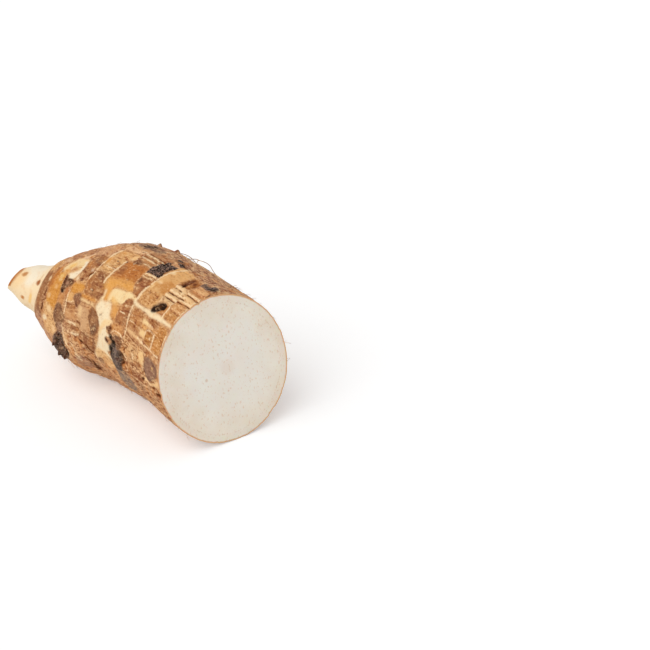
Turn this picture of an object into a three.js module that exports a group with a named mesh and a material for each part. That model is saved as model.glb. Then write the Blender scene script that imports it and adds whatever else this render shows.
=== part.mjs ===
// Arrowroot tuber, cut across: one grown body that lies on its belly.
// Millimetres, +Z up. The peeled stub points towards -X and the cut face towards +X.
// The origin is the middle of the body's box, on the surface that it rests on.
import * as THREE from 'three';

// The body is a loft of round sections. Each station gives the place along the curved axis,
// the section's centre, the heading and the rise of the axis there in degrees, and the radius.
const STATIONS = [
  { along: 0, centre: [-73.3, -5.7, 39.8], heading: 7, rise: -29, radius: 6.7 },
  { along: 8, centre: [-66.1, -3.5, 38.6], heading: 11, rise: -22, radius: 9.3 },
  { along: 17, centre: [-57.7, -1.7, 37.1], heading: 14, rise: -16, radius: 12.9 },
  { along: 27, centre: [-48.2, -0.1, 35.4], heading: 15, rise: -12, radius: 20.9 },
  { along: 40, centre: [-35.5, 2.9, 34.2], heading: 13, rise: -7, radius: 27.7 },
  { along: 62, centre: [-14.5, 5.7, 34.2], heading: 8, rise: -2, radius: 33.9 },
  { along: 97, centre: [20.5, 3.9, 34.4], heading: -7, rise: 4, radius: 34.8 },
  { along: 139, centre: [62.0, -7.8, 33.5], heading: -19, rise: 16.5, radius: 34.8 },
];

// Broad swellings and hollows of the flanks. Around is 0 on top, 90 on the -Y flank.
const SWELLINGS = [
  { along: 7, around: -22, halfLength: 6, halfArc: 50, height: 1.2 },
  { along: 72, around: -26, halfLength: 12, halfArc: 26, height: 1.7 },
  { along: 86, around: -32, halfLength: 10, halfArc: 18, height: 1.0 },
  { along: 11, around: 132, halfLength: 6, halfArc: 40, height: 1.6 },
  { along: 24, around: 124, halfLength: 7, halfArc: 30, height: -1.1 },
  { along: 48, around: 124, halfLength: 12, halfArc: 26, height: 1.3 },
  { along: 72, around: 124, halfLength: 12, halfArc: 26, height: -3.2 },
  { along: 104, around: 124, halfLength: 16, halfArc: 26, height: -1.3 },
  { along: 75, around: 30, halfLength: 22, halfArc: 30, height: -0.4 },
  { along: 66, around: -105, halfLength: 20, halfArc: 34, height: 0.9 },
  { along: 108, around: -80, halfLength: 24, halfArc: 26, height: -0.8 },
];

// Buds and bud scars: a low mound with a pit in its middle.
const BUDS = [
  { along: 41, around: 116, halfLength: 5.0, halfArc: 12, mound: 1.2, pit: 0.6 },
  { along: 95, around: 81, halfLength: 7.0, halfArc: 12, mound: 1.3, pit: 0.9 },
  { along: 119, around: 33, halfLength: 5.0, halfArc: 6, mound: 0.9, pit: 0.4 },
  { along: 97, around: 0, halfLength: 6.0, halfArc: 12, mound: 0.9, pit: 0.4 },
  { along: 130, around: -9, halfLength: 5.0, halfArc: 8, mound: 0.8, pit: 0.5 },
  { along: 52, around: -62, halfLength: 6.0, halfArc: 11, mound: 1.3, pit: 1.0 },
  { along: 84, around: -142, halfLength: 6.5, halfArc: 11, mound: 1.2, pit: 0.9 },
  { along: 118, around: -98, halfLength: 6.0, halfArc: 10, mound: 1.3, pit: 1.1 },
];
const PIT_SHARE = 0.45; // the pit's size as a share of its mound's

// Leaf scars ring the body where each leaf base grew, and pinch it slightly.
const LEAF_SCARS = [27, 36, 45.5, 60, 74, 91, 103, 115, 126];
const SCAR_DEPTH = 0.45;
const SCAR_HALF_WIDTH = 1.6;

// The peeled stub ends in a step up to the skin.
const COLLAR_ALONG = 18.3;
const COLLAR_STEP = 0.8;
const COLLAR_WIDTH = 0.5; // how fast the step rises
const COLLAR_FADE = 8; // how far behind the step the extra thickness lasts

const SIDES = 64;
const RING_SPACING = 3.2;
const FLOOR = 0; // the belly is flat here

const radians = THREE.MathUtils.degToRad;

// Slope of one station value, from the neighbours on both sides.
function slope(read, index) {
  const before = STATIONS[Math.max(index - 1, 0)];
  const after = STATIONS[Math.min(index + 1, STATIONS.length - 1)];
  return (read(after) - read(before)) / (after.along - before.along);
}

// Smooth value between the stations: a cubic through each with that slope.
function between(read, along) {
  let index = 0;
  while (index < STATIONS.length - 2 && along >= STATIONS[index + 1].along) index += 1;
  const [from, to] = [STATIONS[index], STATIONS[index + 1]];
  const span = to.along - from.along;
  const u = (along - from.along) / span;
  const [u2, u3] = [u * u, u * u * u];
  return (2 * u3 - 3 * u2 + 1) * read(from)
    + (u3 - 2 * u2 + u) * span * slope(read, index)
    + (3 * u2 - 2 * u3) * read(to)
    + (u3 - u2) * span * slope(read, index + 1);
}

// Smooth bell over a patch of skin, 1 in its middle.
function bell(along, around, patch, share = 1) {
  const turn = ((around - patch.around + 540) % 360) - 180;
  const a = (along - patch.along) / (patch.halfLength * share);
  const b = turn / (patch.halfArc * share);
  return Math.exp(-a * a - b * b);
}

// What the skin adds to the round section's radius.
function relief(along, around) {
  let height = 0;
  for (const patch of SWELLINGS) height += patch.height * bell(along, around, patch);
  for (const bud of BUDS) {
    height += bud.mound * bell(along, around, bud);
    height -= (bud.mound + bud.pit) * bell(along, around, bud, PIT_SHARE);
  }
  for (const scar of LEAF_SCARS) {
    height -= SCAR_DEPTH * Math.exp(-(((along - scar) / SCAR_HALF_WIDTH) ** 2));
  }
  const past = along - COLLAR_ALONG;
  const step = COLLAR_STEP / (1 + Math.exp(-past / COLLAR_WIDTH));
  return height + step * Math.exp(-Math.max(past, 0) / COLLAR_FADE);
}

// The section's centre and its two directions: up, and out of the -Y flank.
function section(along) {
  const heading = radians(between((station) => station.heading, along));
  const rise = radians(between((station) => station.rise, along));
  const axis = new THREE.Vector3(
    Math.cos(rise) * Math.cos(heading),
    Math.cos(rise) * Math.sin(heading),
    Math.sin(rise),
  );
  const flank = new THREE.Vector3(Math.sin(heading), -Math.cos(heading), 0);
  const up = new THREE.Vector3().crossVectors(flank, axis);
  const centre = new THREE.Vector3(
    between((station) => station.centre[0], along),
    between((station) => station.centre[1], along),
    between((station) => station.centre[2], along),
  );
  return { centre, flank, up };
}

// One point of the skin. What would reach below the floor slides up its section's plane.
function skinPoint(along, around) {
  const { centre, flank, up } = section(along);
  const radius = between((station) => station.radius, along) + relief(along, around);
  const point = centre.clone()
    .addScaledVector(up, radius * Math.cos(radians(around)))
    .addScaledVector(flank, radius * Math.sin(radians(around)));
  if (point.z < FLOOR) point.addScaledVector(up, (FLOOR - point.z) / up.z);
  return point;
}

// Rings stand closer together beside each leaf scar and at the collar, to show their shape.
function ringPlaces() {
  const [first, last] = [STATIONS[0].along, STATIONS[STATIONS.length - 1].along];
  const marks = [first, last, COLLAR_ALONG - 1, COLLAR_ALONG + 1];
  for (const scar of LEAF_SCARS) {
    marks.push(scar - SCAR_HALF_WIDTH, scar, scar + SCAR_HALF_WIDTH);
  }
  marks.sort((a, b) => a - b);
  const places = [first];
  for (const mark of marks.slice(1)) {
    const start = places[places.length - 1];
    const steps = Math.ceil((mark - start) / RING_SPACING);
    for (let step = 1; step <= steps; step += 1) {
      places.push(start + ((mark - start) * step) / steps);
    }
  }
  return places;
}

function tuberGeometry() {
  const places = ringPlaces();
  const points = [];
  for (const along of places) {
    for (let side = 0; side < SIDES; side += 1) points.push(skinPoint(along, (360 * side) / SIDES));
  }
  const stubEnd = points.length;
  points.push(section(places[0]).centre);
  const cutFace = points.length;
  points.push(section(places[places.length - 1]).centre);

  const faces = [];
  const lastRing = (places.length - 1) * SIDES;
  for (let side = 0; side < SIDES; side += 1) {
    const next = (side + 1) % SIDES;
    for (let start = 0; start < lastRing; start += SIDES) {
      const [a, b] = [start + side, start + next];
      faces.push([a, b, a + SIDES], [b, b + SIDES, a + SIDES]);
    }
    faces.push([stubEnd, next, side]);
    faces.push([cutFace, lastRing + side, lastRing + next]);
  }
  const geometry = new THREE.BufferGeometry().setFromPoints(points);
  geometry.setIndex(faces.flat());
  geometry.computeVertexNormals();
  return geometry;
}

const skin = new THREE.MeshStandardMaterial({ color: 0xb98150, roughness: 0.75, metalness: 0 });

const tuber = new THREE.Mesh(tuberGeometry(), skin);
tuber.name = 'tuber';

const model = new THREE.Group();
model.add(tuber);

export default model;
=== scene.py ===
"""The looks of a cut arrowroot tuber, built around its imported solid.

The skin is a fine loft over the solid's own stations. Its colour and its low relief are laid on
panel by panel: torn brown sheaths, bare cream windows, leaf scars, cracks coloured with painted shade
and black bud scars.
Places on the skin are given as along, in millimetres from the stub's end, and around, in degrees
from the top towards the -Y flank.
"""
import math

import bpy
import numpy as np
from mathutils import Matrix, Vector


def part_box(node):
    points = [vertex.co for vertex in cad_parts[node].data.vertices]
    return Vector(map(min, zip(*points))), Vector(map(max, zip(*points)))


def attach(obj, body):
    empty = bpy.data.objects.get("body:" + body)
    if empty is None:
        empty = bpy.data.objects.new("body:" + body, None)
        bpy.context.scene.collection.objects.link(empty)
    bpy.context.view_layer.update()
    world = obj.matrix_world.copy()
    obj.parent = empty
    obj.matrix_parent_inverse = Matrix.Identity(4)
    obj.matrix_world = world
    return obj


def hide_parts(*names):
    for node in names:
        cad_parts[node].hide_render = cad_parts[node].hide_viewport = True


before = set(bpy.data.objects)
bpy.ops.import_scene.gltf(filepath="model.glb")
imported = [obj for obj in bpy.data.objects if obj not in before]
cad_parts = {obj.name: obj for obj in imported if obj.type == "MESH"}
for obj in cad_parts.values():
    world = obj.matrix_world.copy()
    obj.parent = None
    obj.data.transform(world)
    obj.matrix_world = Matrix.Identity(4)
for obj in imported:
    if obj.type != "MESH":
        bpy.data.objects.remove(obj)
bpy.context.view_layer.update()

MM = 0.001
FLOOR_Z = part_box("tuber")[0][2]

# --- the body: the same stations as the solid's ---

# along, centre x, y, z, heading, rise, radius
STATIONS = np.array([
    [0, -73.3, -5.7, 39.8, 7, -29, 6.7],
    [8, -66.1, -3.5, 38.6, 11, -22, 9.3],
    [17, -57.7, -1.7, 37.1, 14, -16, 12.9],
    [27, -48.2, -0.1, 35.4, 15, -12, 20.9],
    [40, -35.5, 2.9, 34.2, 13, -7, 27.7],
    [62, -14.5, 5.7, 34.2, 8, -2, 33.9],
    [97, 20.5, 3.9, 34.4, -7, 4, 34.8],
    [139, 62.0, -7.8, 33.5, -19, 16.5, 34.8],
])
LENGTH = STATIONS[-1, 0]

# along, around, half length, half arc, height of each broad swelling or hollow
SWELLINGS = [
    (7, -22, 6, 50, 1.2),
    (72, -26, 12, 26, 1.7),
    (86, -32, 10, 18, 1.0),
    (11, 132, 6, 40, 1.6),
    (24, 124, 7, 30, -1.1),
    (48, 124, 12, 26, 1.3),
    (72, 124, 12, 26, -3.2),
    (104, 124, 16, 26, -1.3),
    (75, 30, 22, 30, -0.4),
    (66, -105, 20, 34, 0.9),
    (108, -80, 24, 26, -0.8),
]

# along, around, half length, half arc, mound, pit of each bud or bud scar
BUDS = [
    (41, 116, 5.0, 12, 1.2, 0.6),
    (95, 81, 7.0, 12, 1.3, 0.9),
    (119, 33, 5.0, 6, 0.9, 0.4),
    (97, 0, 6.0, 12, 0.9, 0.4),
    (130, -9, 5.0, 8, 0.8, 0.5),
    (52, -62, 6.0, 11, 1.3, 1.0),
    (84, -142, 6.5, 11, 1.2, 0.9),
    (118, -98, 6.0, 10, 1.3, 1.1),
]
PIT_SHARE = 0.45  # a pit's size as a share of its mound's

LEAF_SCARS = [27, 36, 45.5, 60, 74, 91, 103, 115, 126]
SCAR_DEPTH = 0.45
SCAR_HALF_WIDTH = 1.6

# the step from the peeled stub up to the skin
COLLAR_ALONG = 18.3
COLLAR_STEP = 0.8
COLLAR_WIDTH = 0.25  # how fast the step rises, which is twice as fast as on the solid
COLLAR_FADE = 8  # how far behind the step the extra thickness lasts

# the skin's net of points
COLUMNS = 376
NECK_END = 16.0  # up to here its rings stand NECK_ROW apart, and past it SKIN_ROW
NECK_ROW = 0.95
SKIN_ROW = 0.54


def between(along):
    """The station values at each place along the axis, as a cubic through the stations."""
    place, value = STATIONS[:, 0], STATIONS[:, 1:]
    gap = np.diff(place)[:, None]
    slope = np.empty_like(value)
    slope[1:-1] = (value[2:] - value[:-2]) / (place[2:] - place[:-2])[:, None]
    slope[0] = (value[1] - value[0]) / gap[0]
    slope[-1] = (value[-1] - value[-2]) / gap[-1]
    i = np.clip(np.searchsorted(place, along, side="right") - 1, 0, len(place) - 2)
    h = gap[i]
    u = (along - place[i])[:, None] / h
    return (
        (2 * u**3 - 3 * u**2 + 1) * value[i]
        + (u**3 - 2 * u**2 + u) * h * slope[i]
        + (3 * u**2 - 2 * u**3) * value[i + 1]
        + (u**3 - u**2) * h * slope[i + 1]
    )


def sections(along):
    """Centre, axis, flank, up and radius of the round section at each place along the axis."""
    values = between(along)
    heading, rise = np.radians(values[:, 3]), np.radians(values[:, 4])
    axis = np.stack([np.cos(rise) * np.cos(heading), np.cos(rise) * np.sin(heading), np.sin(rise)], 1)
    flank = np.stack([np.sin(heading), -np.cos(heading), 0 * heading], 1)
    return values[:, :3], axis, flank, np.cross(flank, axis), values[:, 5]


def turn(around, to):
    """Signed angle from one bearing to another, -180 to 180."""
    return (around - to + 180) % 360 - 180


def peak(value, middle, width):
    """1 at a middle value, fading to 0 on both sides of it."""
    return np.exp(-(((value - middle) / width) ** 2))


def bell(along, around, patch, share=1.0):
    """1 in the middle of a patch of skin, fading to 0 around it."""
    return np.exp(
        -(((along - patch[0]) / (patch[2] * share)) ** 2)
        - (turn(around, patch[1]) / (patch[3] * share)) ** 2
    )


def smooth(low, high, value):
    """0 at low and beyond it, 1 at high and beyond it, with an eased ramp between them."""
    t = np.clip((value - low) / (high - low), 0, 1)
    return t * t * (3 - 2 * t)


# --- repeatable noise ---

LATTICE_FACTORS = (73856093, 19349663, 83492791)
SEED_FACTOR = 40503
SEED_OFFSET = 977
MIXING = ((15, 2246822519), (13, 3266489917))  # shift and factor of each round of mixing
LAST_SHIFT = 16
LARGEST = 0xFFFFFFFF
LAYER_SEEDS = 17  # how far apart the seeds of two layers are


def hashed(x, y, z, seed):
    """A repeatable random number from 0 to 1 for each whole-numbered lattice point."""
    mixed = np.uint64(seed * SEED_FACTOR + SEED_OFFSET)
    for value, factor in zip((x, y, z), LATTICE_FACTORS):
        mixed = mixed ^ (np.asarray(value, dtype=np.int64).astype(np.uint64) * np.uint64(factor))
    mixed = mixed & np.uint64(LARGEST)
    for shift, factor in MIXING:
        mixed = ((mixed ^ (mixed >> np.uint64(shift))) * np.uint64(factor)) & np.uint64(LARGEST)
    return (mixed ^ (mixed >> np.uint64(LAST_SHIFT))).astype(float) / LARGEST


def noise(points, size, seed):
    """Smooth random value from -1 to 1, with lumps of the given size, one number or three."""
    place = points / size
    corner = np.floor(place)
    part = place - corner
    ease = part * part * (3 - 2 * part)
    corner = corner.astype(np.int64)
    total = np.zeros(len(points))
    for step in np.ndindex(2, 2, 2):
        share = 1.0
        for k, d in enumerate(step):
            share = share * (ease[:, k] if d else 1 - ease[:, k])
        total += share * hashed(*(corner + step).T, seed)
    return 2 * total - 1


def layered(points, size, seed, layers):
    """Noise with finer and weaker layers added."""
    total, weight = 0.0, 0.0
    for layer in range(layers):
        share = 0.5**layer
        total = total + noise(points, np.multiply(size, share), seed + LAYER_SEEDS * layer) * share
        weight += share
    return total / weight


# --- colours and kinds of skin ---


def linear(red, green, blue):
    """A colour written as 0 to 255 display values, as linear light."""
    value = np.array([red, green, blue]) / 255
    return np.where(value <= 0.04045, value / 12.92, ((value + 0.055) / 1.055) ** 2.4)


def opaque(red, green, blue):
    """The same colour for a node's socket."""
    return (*linear(red, green, blue), 1.0)


class Kind:
    """How one kind of skin is built: its texture, how proud it stands and how its edge runs.

    Fibre and mottle are how strongly its strands and its crumbs show, and height how many
    millimetres it stands proud. Soft is how many millimetres its edge fades over, and ragged how
    far the edge strays. Outline is the strength of the pale line round it, and rim how much
    darker it is just inside. Gloss is its shine, and char how burnt it is.
    """

    def __init__(self, fibre, mottle, height, soft, ragged, outline=0.0, rim=0.0, gloss=0.0, char=0.0):
        self.fibre, self.mottle, self.height = fibre, mottle, height
        self.soft, self.ragged = soft, ragged
        self.outline, self.rim = outline, rim
        self.gloss, self.char = gloss, char


KINDS = {
    "sheath": Kind(0.70, 0.16, 0.26, 0.4, 0.8, outline=0.45, rim=0.18),
    "torn": Kind(0.65, 0.52, 0.14, 0.9, 1.2, outline=0.2),
    "shaggy": Kind(1.5, 0.85, 0.16, 0.9, 1.2, outline=0.2),
    "stain": Kind(0.35, 0.28, 0.08, 1.4, 0.8, gloss=0.15),
    "glow": Kind(0.15, 0.18, -0.06, 2.6, 0.9, gloss=0.4),
    "bare": Kind(0.10, 0.20, -0.12, 0.7, 0.8, gloss=0.5),
    "scab": Kind(0.40, 0.24, 0.32, 0.35, 0.6, outline=0.3, rim=0.25),
    "band": Kind(0.40, 0.16, 0.20, 0.9, 0.9),
    "grey": Kind(0.55, 0.45, 0.20, 0.9, 1.0),
    "plate": Kind(0.55, 0.50, 0.26, 0.4, 0.6, outline=0.3, gloss=0.1),
    "soot": Kind(0.40, 0.25, 0.36, 0.5, 0.7, char=0.42, rim=0.2),
    "char": Kind(0.20, 0.10, 0.40, 0.45, 0.8, char=1.0),
    "hole": Kind(0.10, 0.10, -0.50, 0.4, 0.4),
    "peel": Kind(0.04, 0.06, 0.0, 0.3, 0.0, gloss=0.6),
    "wash": Kind(0.04, 0.06, 0.0, 2.2, 0.4, gloss=0.6),
}

# kind and colour of the sheath scales all round the body
SCALES = [
    ("sheath", (172, 120, 80)), ("torn", (200, 150, 106)), ("sheath", (160, 112, 78)),
    ("torn", (188, 138, 98)), ("torn", (210, 162, 114)), ("scab", (154, 110, 80)),
    ("sheath", (182, 130, 90)), ("grey", (172, 132, 104)),
]
# kind, colour, lump sizes along and across, and level of the islands that lie over the scales
ISLANDS = [
    ("torn", (222, 174, 124), (12, 6), 0.22),
    ("stain", (206, 140, 74), (16, 8), 0.24),
    ("scab", (134, 96, 72), (11, 5), 0.36),
    ("bare", (244, 212, 162), (13, 7), 0.34),
]
GROUND_COLOUR = (226, 180, 132)  # between the scales
PEEL_COLOUR = (247, 221, 180)
COLLAR_COLOUR = (158, 109, 73)
COLLAR_PALE = (232, 190, 144)  # along its torn front edge

# kind, colour as it looks in soft light, then the (along, around) corners of each patch of skin,
# from the stub to the cut; later patches lie over earlier ones
PATCHES = [
    # the peeled stub
    # the stub's top: its own cream, made whiter with a painted highlight
    ("wash", (250, 235, 208), [(3, -60), (16, -60), (17, 20), (14, 60), (9, 70), (8, 30), (4, 0)]),
    ("wash", (247, 214, 165), [(1, 20), (7, 20), (8, 50), (5, 90), (1, 100)]),
    ("peel", (180, 112, 54), [(-3, -34), (1.1, -30), (1.8, 0), (1.9, 30), (1.7, 70), (1.2, 98), (-3, 106)]),
    # ground of the whole near side
    ("torn", (192, 143, 104), [(24, -16), (60, -16), (62, 30), (60, 144), (24, 144)]),
    ("torn", (198, 148, 104), [(58, -16), (92, -16), (92, 144), (58, 144)]),
    ("torn", (194, 142, 99), [(90, -12), (139, -12), (139, 144), (90, 144)]),
    ("shaggy", (180, 136, 104), [(84, -34), (140, -34), (140, -9), (110, -10), (96, -12), (84, -14)]),
    ("torn", (186, 140, 106), [(24, -34), (84, -34), (84, -12), (24, -12)]),
    ("shaggy", (190, 140, 100), [(44, 86), (92, 86), (92, 144), (44, 144)]),
    ("shaggy", (188, 137, 96), [(90, 68), (139, 68), (139, 144), (90, 144)]),
    # the collar
    ("torn", (206, 156, 104), [(21, -6), (27, -8), (28, 8), (27, 16), (25, 24), (21.4, 24)]),
    ("stain", (204, 147, 86), [(21.4, 7), (23, 6), (24.5, 14), (23.6, 19), (21.8, 14)]),
    ("band", (155, 106, 72), [(20.6, 25), (24.6, 25), (25.6, 36), (25.4, 50), (20.6, 50)]),
    ("band", (160, 109, 73), [(20.6, 50), (25, 50), (25, 76), (23, 86), (20.8, 76)]),
    ("band", (149, 102, 72), [(21.2, 78), (25.6, 84), (28, 92), (29, 104), (27, 122), (20.6, 122)]),
    # the shoulder
    ("torn", (196, 148, 112), [(26, -12), (31, -12), (31, 6), (28, 9), (26.5, 2)]),
    ("sheath", (182, 130, 92), [(31, -14), (46, -14), (49, -4), (47, 6), (42, 9.5), (35, 9.5), (32.5, 7),
     (31, 0)]),
    ("stain", (174, 118, 78), [(32, -2), (34, -3), (34.5, 4), (32.5, 5)]),
    ("torn", (208, 168, 132), [(29.5, 4), (31.5, 6), (33, 11), (32, 15), (30, 10)]),
    ("torn", (200, 146, 98), [(28, 8), (31, 12), (33, 14), (32, 20), (31, 24), (28.5, 22), (30, 15)]),
    ("stain", (196, 124, 60), [(27, 22), (29.5, 17), (31, 22), (31.5, 30), (31, 44), (29.5, 54), (27, 54),
     (26.6, 40), (26.8, 30)]),
    ("stain", (170, 108, 62), [(25, 26), (26.8, 25), (27.2, 33), (26.4, 37), (25.2, 34)]),
    ("stain", (168, 106, 60), [(25.8, 40), (27.6, 40), (27.6, 50), (26, 51)]),
    ("stain", (212, 147, 72), [(30.5, 29), (34, 28), (37, 33), (36.5, 40), (37.4, 50), (38, 60), (37, 66),
     (35.5, 78), (31, 76), (28.5, 68), (28, 54), (30, 44)]),
    ("bare", (234, 190, 120), [(32, 32), (34.5, 31), (35.5, 35), (33.5, 37), (32, 35)]),
    ("bare", (234, 196, 140), [(32, 37), (35, 37.5), (35.5, 39.3), (33, 40)]),
    ("bare", (228, 176, 116), [(31.8, 45), (34, 45), (34.3, 50), (32, 50)]),
    ("bare", (224, 176, 122), [(28.4, 57), (31, 56), (31.2, 62), (29, 63.5)]),
    ("torn", (221, 173, 119), [(27, 68), (31, 68), (36, 74), (37.5, 82), (39.5, 90), (40.4, 96), (38, 102),
     (34, 106), (30, 106), (28, 96), (27.5, 86)]),
    ("bare", (238, 200, 148), [(30.4, 72), (33.6, 71.5), (34.2, 77), (31.5, 78.5)]),
    ("bare", (244, 218, 178), [(28.4, 88), (30.5, 84.5), (32.3, 87), (31.6, 93), (29, 93)]),
    ("torn", (238, 194, 144), [(36.6, 90), (39.4, 91), (39.6, 95.5), (37, 96)]),
    ("torn", (182, 136, 105), [(24, 88), (27.6, 92), (30, 104), (34, 108), (37.5, 108), (36, 124),
     (22, 124), (22, 100)]),
    ("stain", (176, 116, 72), [(27, 79), (29.6, 80), (29.8, 84), (27.6, 87), (26.4, 85)]),
    # the first bare window
    ("bare", (240, 206, 152), [(32, 20), (33, 17), (34.4, 14), (36.3, 11), (39, 9.8), (42, 10.8), (45, 13),
     (48, 14), (49.4, 16.5), (49, 20), (48.6, 25), (48, 29), (46.8, 32), (45.2, 35.5), (43.5, 37.6),
     (41.5, 37.6), (39.8, 36), (38.6, 33), (37, 30), (33.5, 28.5), (32, 25)]),
    ("bare", (250, 231, 198), [(39, 30.5), (42, 30), (44.5, 28), (46.5, 25), (47, 20), (45, 16),
     (48.5, 16.5), (49, 20), (48.6, 25), (48, 29), (46.8, 32), (45.2, 35.5), (43.5, 37.4), (41.5, 37.4),
     (39.8, 35.8)]),
    ("bare", (226, 186, 146), [(40, 9), (43, 7), (46, 4.6), (50, 4), (50, 6.4), (46.6, 7.4), (45, 12),
     (42, 11)]),
    ("stain", (243, 196, 120), [(35.6, 17), (38.6, 16), (40.2, 19), (39.6, 23), (37, 23.5), (35, 21)]),
    ("stain", (220, 156, 86), [(33.4, 24.5), (36, 23.6), (38, 26), (38.6, 29.6), (36.6, 31), (34, 29.5)]),
    ("stain", (196, 138, 92), [(38.4, 28.5), (39, 25.5), (40.6, 22.6), (42.6, 23.4), (44.6, 26.6),
     (43.4, 28.6), (41, 29.6), (39, 30.2)]),
    # the dark scab under it
    ("scab", (112, 78, 62), [(37, 33), (38.4, 33.6), (39.6, 36.6), (42, 38), (44.6, 38.3), (46.6, 40.6),
     (46.2, 43.4), (44.4, 45), (43, 47), (41.4, 48), (41, 51), (40.2, 53), (38.4, 52.6), (37.4, 50),
     (36.9, 46), (37, 40)]),
    ("bare", (198, 150, 116), [(39.6, 41.4), (41.4, 40.8), (42.3, 43), (41, 44.4), (39.8, 43.6)]),
    ("stain", (190, 124, 78), [(41.6, 47.6), (44, 46.4), (45, 49), (44.4, 56), (41.4, 55)]),
    ("band", (202, 142, 90), [(37.2, 54), (41, 53), (43, 56), (43, 66), (40, 63.6), (37.4, 64)]),
    # the long taupe lens
    ("scab", (146, 104, 76), [(37.2, 66.5), (38.6, 64.2), (41, 64), (43, 66.4), (44.4, 70), (45.6, 73),
     (47, 73.4), (46.4, 76.4), (45.6, 80), (45, 84), (45.2, 92), (44, 95.5), (42, 94.5), (41, 90.6),
     (39.8, 87), (38.3, 83), (36.9, 79.6), (36.4, 75), (36.6, 70)]),
    ("grey", (128, 90, 68), [(37, 68), (39, 66), (39.6, 72), (39, 80), (37.4, 79)]),
    ("grey", (164, 124, 100), [(41, 83), (45, 82), (45.2, 92), (43.6, 93), (41.6, 90)]),
    # the knobbly bud on the lower shoulder
    ("soot", (112, 92, 80), [(38, 103), (38.4, 100), (40, 97.4), (41, 93.6), (43, 92.4), (45, 94),
     (46.6, 97), (47.4, 101), (48.8, 105), (50, 108), (51, 111), (50, 116), (48, 121), (44, 124), (38, 124),
     (36.4, 117), (37, 110)]),
    ("stain", (150, 84, 42), [(40, 111.6), (41.6, 111), (42.2, 114), (40.8, 115.4)]),
    # the second sheath
    ("torn", (202, 152, 112), [(48, -10), (60, -10), (66, -4), (64, 4), (61.6, 10), (57, 9), (52, 8),
     (50, 5)]),
    ("stain", (190, 118, 58), [(46.6, 8.5), (49, 7.6), (50, 10.4), (48.4, 12.6), (46.8, 11.6)]),
    ("sheath", (174, 118, 78), [(50, 10), (54, 9), (58, 10), (62.4, 10), (61.4, 16), (60, 22), (58.6, 28),
     (56, 35), (53, 39), (50.4, 40), (48.4, 37), (47.6, 33.6), (48.8, 28), (49.6, 20)]),
    ("stain", (192, 126, 72), [(50.2, 19), (53, 18), (53.6, 25), (50.6, 26)]),
    ("sheath", (158, 108, 76), [(54, 14), (61.4, 13), (61, 18), (59.6, 22), (55, 20)]),
    ("bare", (216, 182, 150), [(55.6, 26.6), (57.6, 26), (58, 29), (56, 30)]),
    ("bare", (236, 202, 160), [(46.6, 35), (48.4, 34.6), (49.4, 37.6), (48, 39.6), (46.4, 38.4)]),
    ("torn", (214, 164, 114), [(53.6, 38.6), (57, 37.4), (58.4, 40), (57, 42.6), (54, 42)]),
    ("stain", (216, 150, 74), [(46, 42), (49, 40.4), (53, 40.6), (57, 43), (58, 46), (56, 49.6), (52, 51),
     (50, 53), (47, 51.6), (45.4, 48)]),
    ("band", (222, 168, 108), [(44.4, 51), (47, 51.6), (50, 53), (50.6, 57), (51.6, 59.6), (46, 60),
     (44.4, 58)]),
    ("scab", (146, 100, 74), [(51.2, 51.6), (54, 50), (57, 50.6), (58.4, 53), (57.4, 56), (58, 59),
     (56.6, 62.4), (54.4, 62), (52.6, 59), (50.9, 56)]),
    ("sheath", (168, 112, 72), [(45.6, 60.6), (50, 60.8), (54, 62), (55, 64), (50, 65.4), (45.8, 65.4)]),
    ("band", (202, 148, 101), [(45.4, 66), (50, 65.6), (57, 64), (58.6, 70), (57, 74), (50, 75),
     (46.6, 75)]),
    ("torn", (224, 178, 128), [(55, 66), (58.4, 65), (60, 69), (58, 71), (55.4, 70.6)]),
    ("sheath", (176, 120, 80), [(47.6, 79.6), (52, 78.8), (58, 79), (60.4, 82), (57, 83.4), (50, 83)]),
    ("shaggy", (202, 152, 109), [(46, 89), (60, 88), (62, 96), (61, 108), (52, 108), (48, 99)]),
    ("torn", (222, 176, 126), [(45.8, 90), (48.6, 90), (50.6, 98), (52, 103), (49.6, 104), (47.6, 99)]),
    ("scab", (114, 86, 70), [(65.4, 91.4), (69.6, 90.6), (73.6, 93), (73.6, 97.4), (69, 97.4), (66, 94.4)]),
    ("grey", (170, 128, 102), [(56, 108), (62, 106), (66, 112), (66, 124), (54, 124)]),
    # the tan sheath with pale rims, and the brown one below it
    ("torn", (222, 176, 132), [(66, -8), (72, -8.6), (78, -6), (81.6, -8), (84.6, -13), (86, -12.6),
     (84, -8), (82, -4), (79.6, -1), (72, -2.4), (66.6, -3)]),
    ("torn", (219, 168, 112), [(66, -1.6), (72, -1), (79, -0.6), (80.4, 2), (79, 7), (77, 9), (75, 10.6),
     (74.6, 14), (73.6, 20), (72.4, 25), (70, 27.6), (66, 26.4), (62, 25.4), (60, 28), (61, 22), (62.4, 15),
     (63.6, 9), (65, 3)]),
    ("stain", (216, 149, 78), [(62.6, 12.5), (65, 11.6), (66, 15), (64, 18), (62.2, 17.4)]),
    ("stain", (213, 149, 80), [(68, 2), (70.4, 1.6), (71, 4), (69, 5)]),
    ("bare", (240, 202, 152), [(76, 3.6), (78.6, 2), (79, 5), (78, 8.4), (76, 8)]),
    ("stain", (236, 178, 104), [(76.6, 4.6), (78.2, 4.2), (78, 6.2), (76.8, 6)]),
    ("sheath", (176, 121, 80), [(58.6, 31), (60.6, 28), (63, 26.6), (68, 28), (70.4, 29.6), (70.4, 34),
     (71.6, 38), (73, 41.6), (74, 45), (73, 49), (71.6, 51.4), (68, 50.8), (62, 50), (57.6, 49), (57, 44),
     (57.6, 38)]),
    ("sheath", (158, 106, 74), [(63, 30), (67, 29.6), (69.6, 33), (68, 36), (64, 35)]),
    ("stain", (150, 98, 68), [(70.6, 45.5), (73, 45.4), (73, 48.4), (71, 49.6)]),
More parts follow.
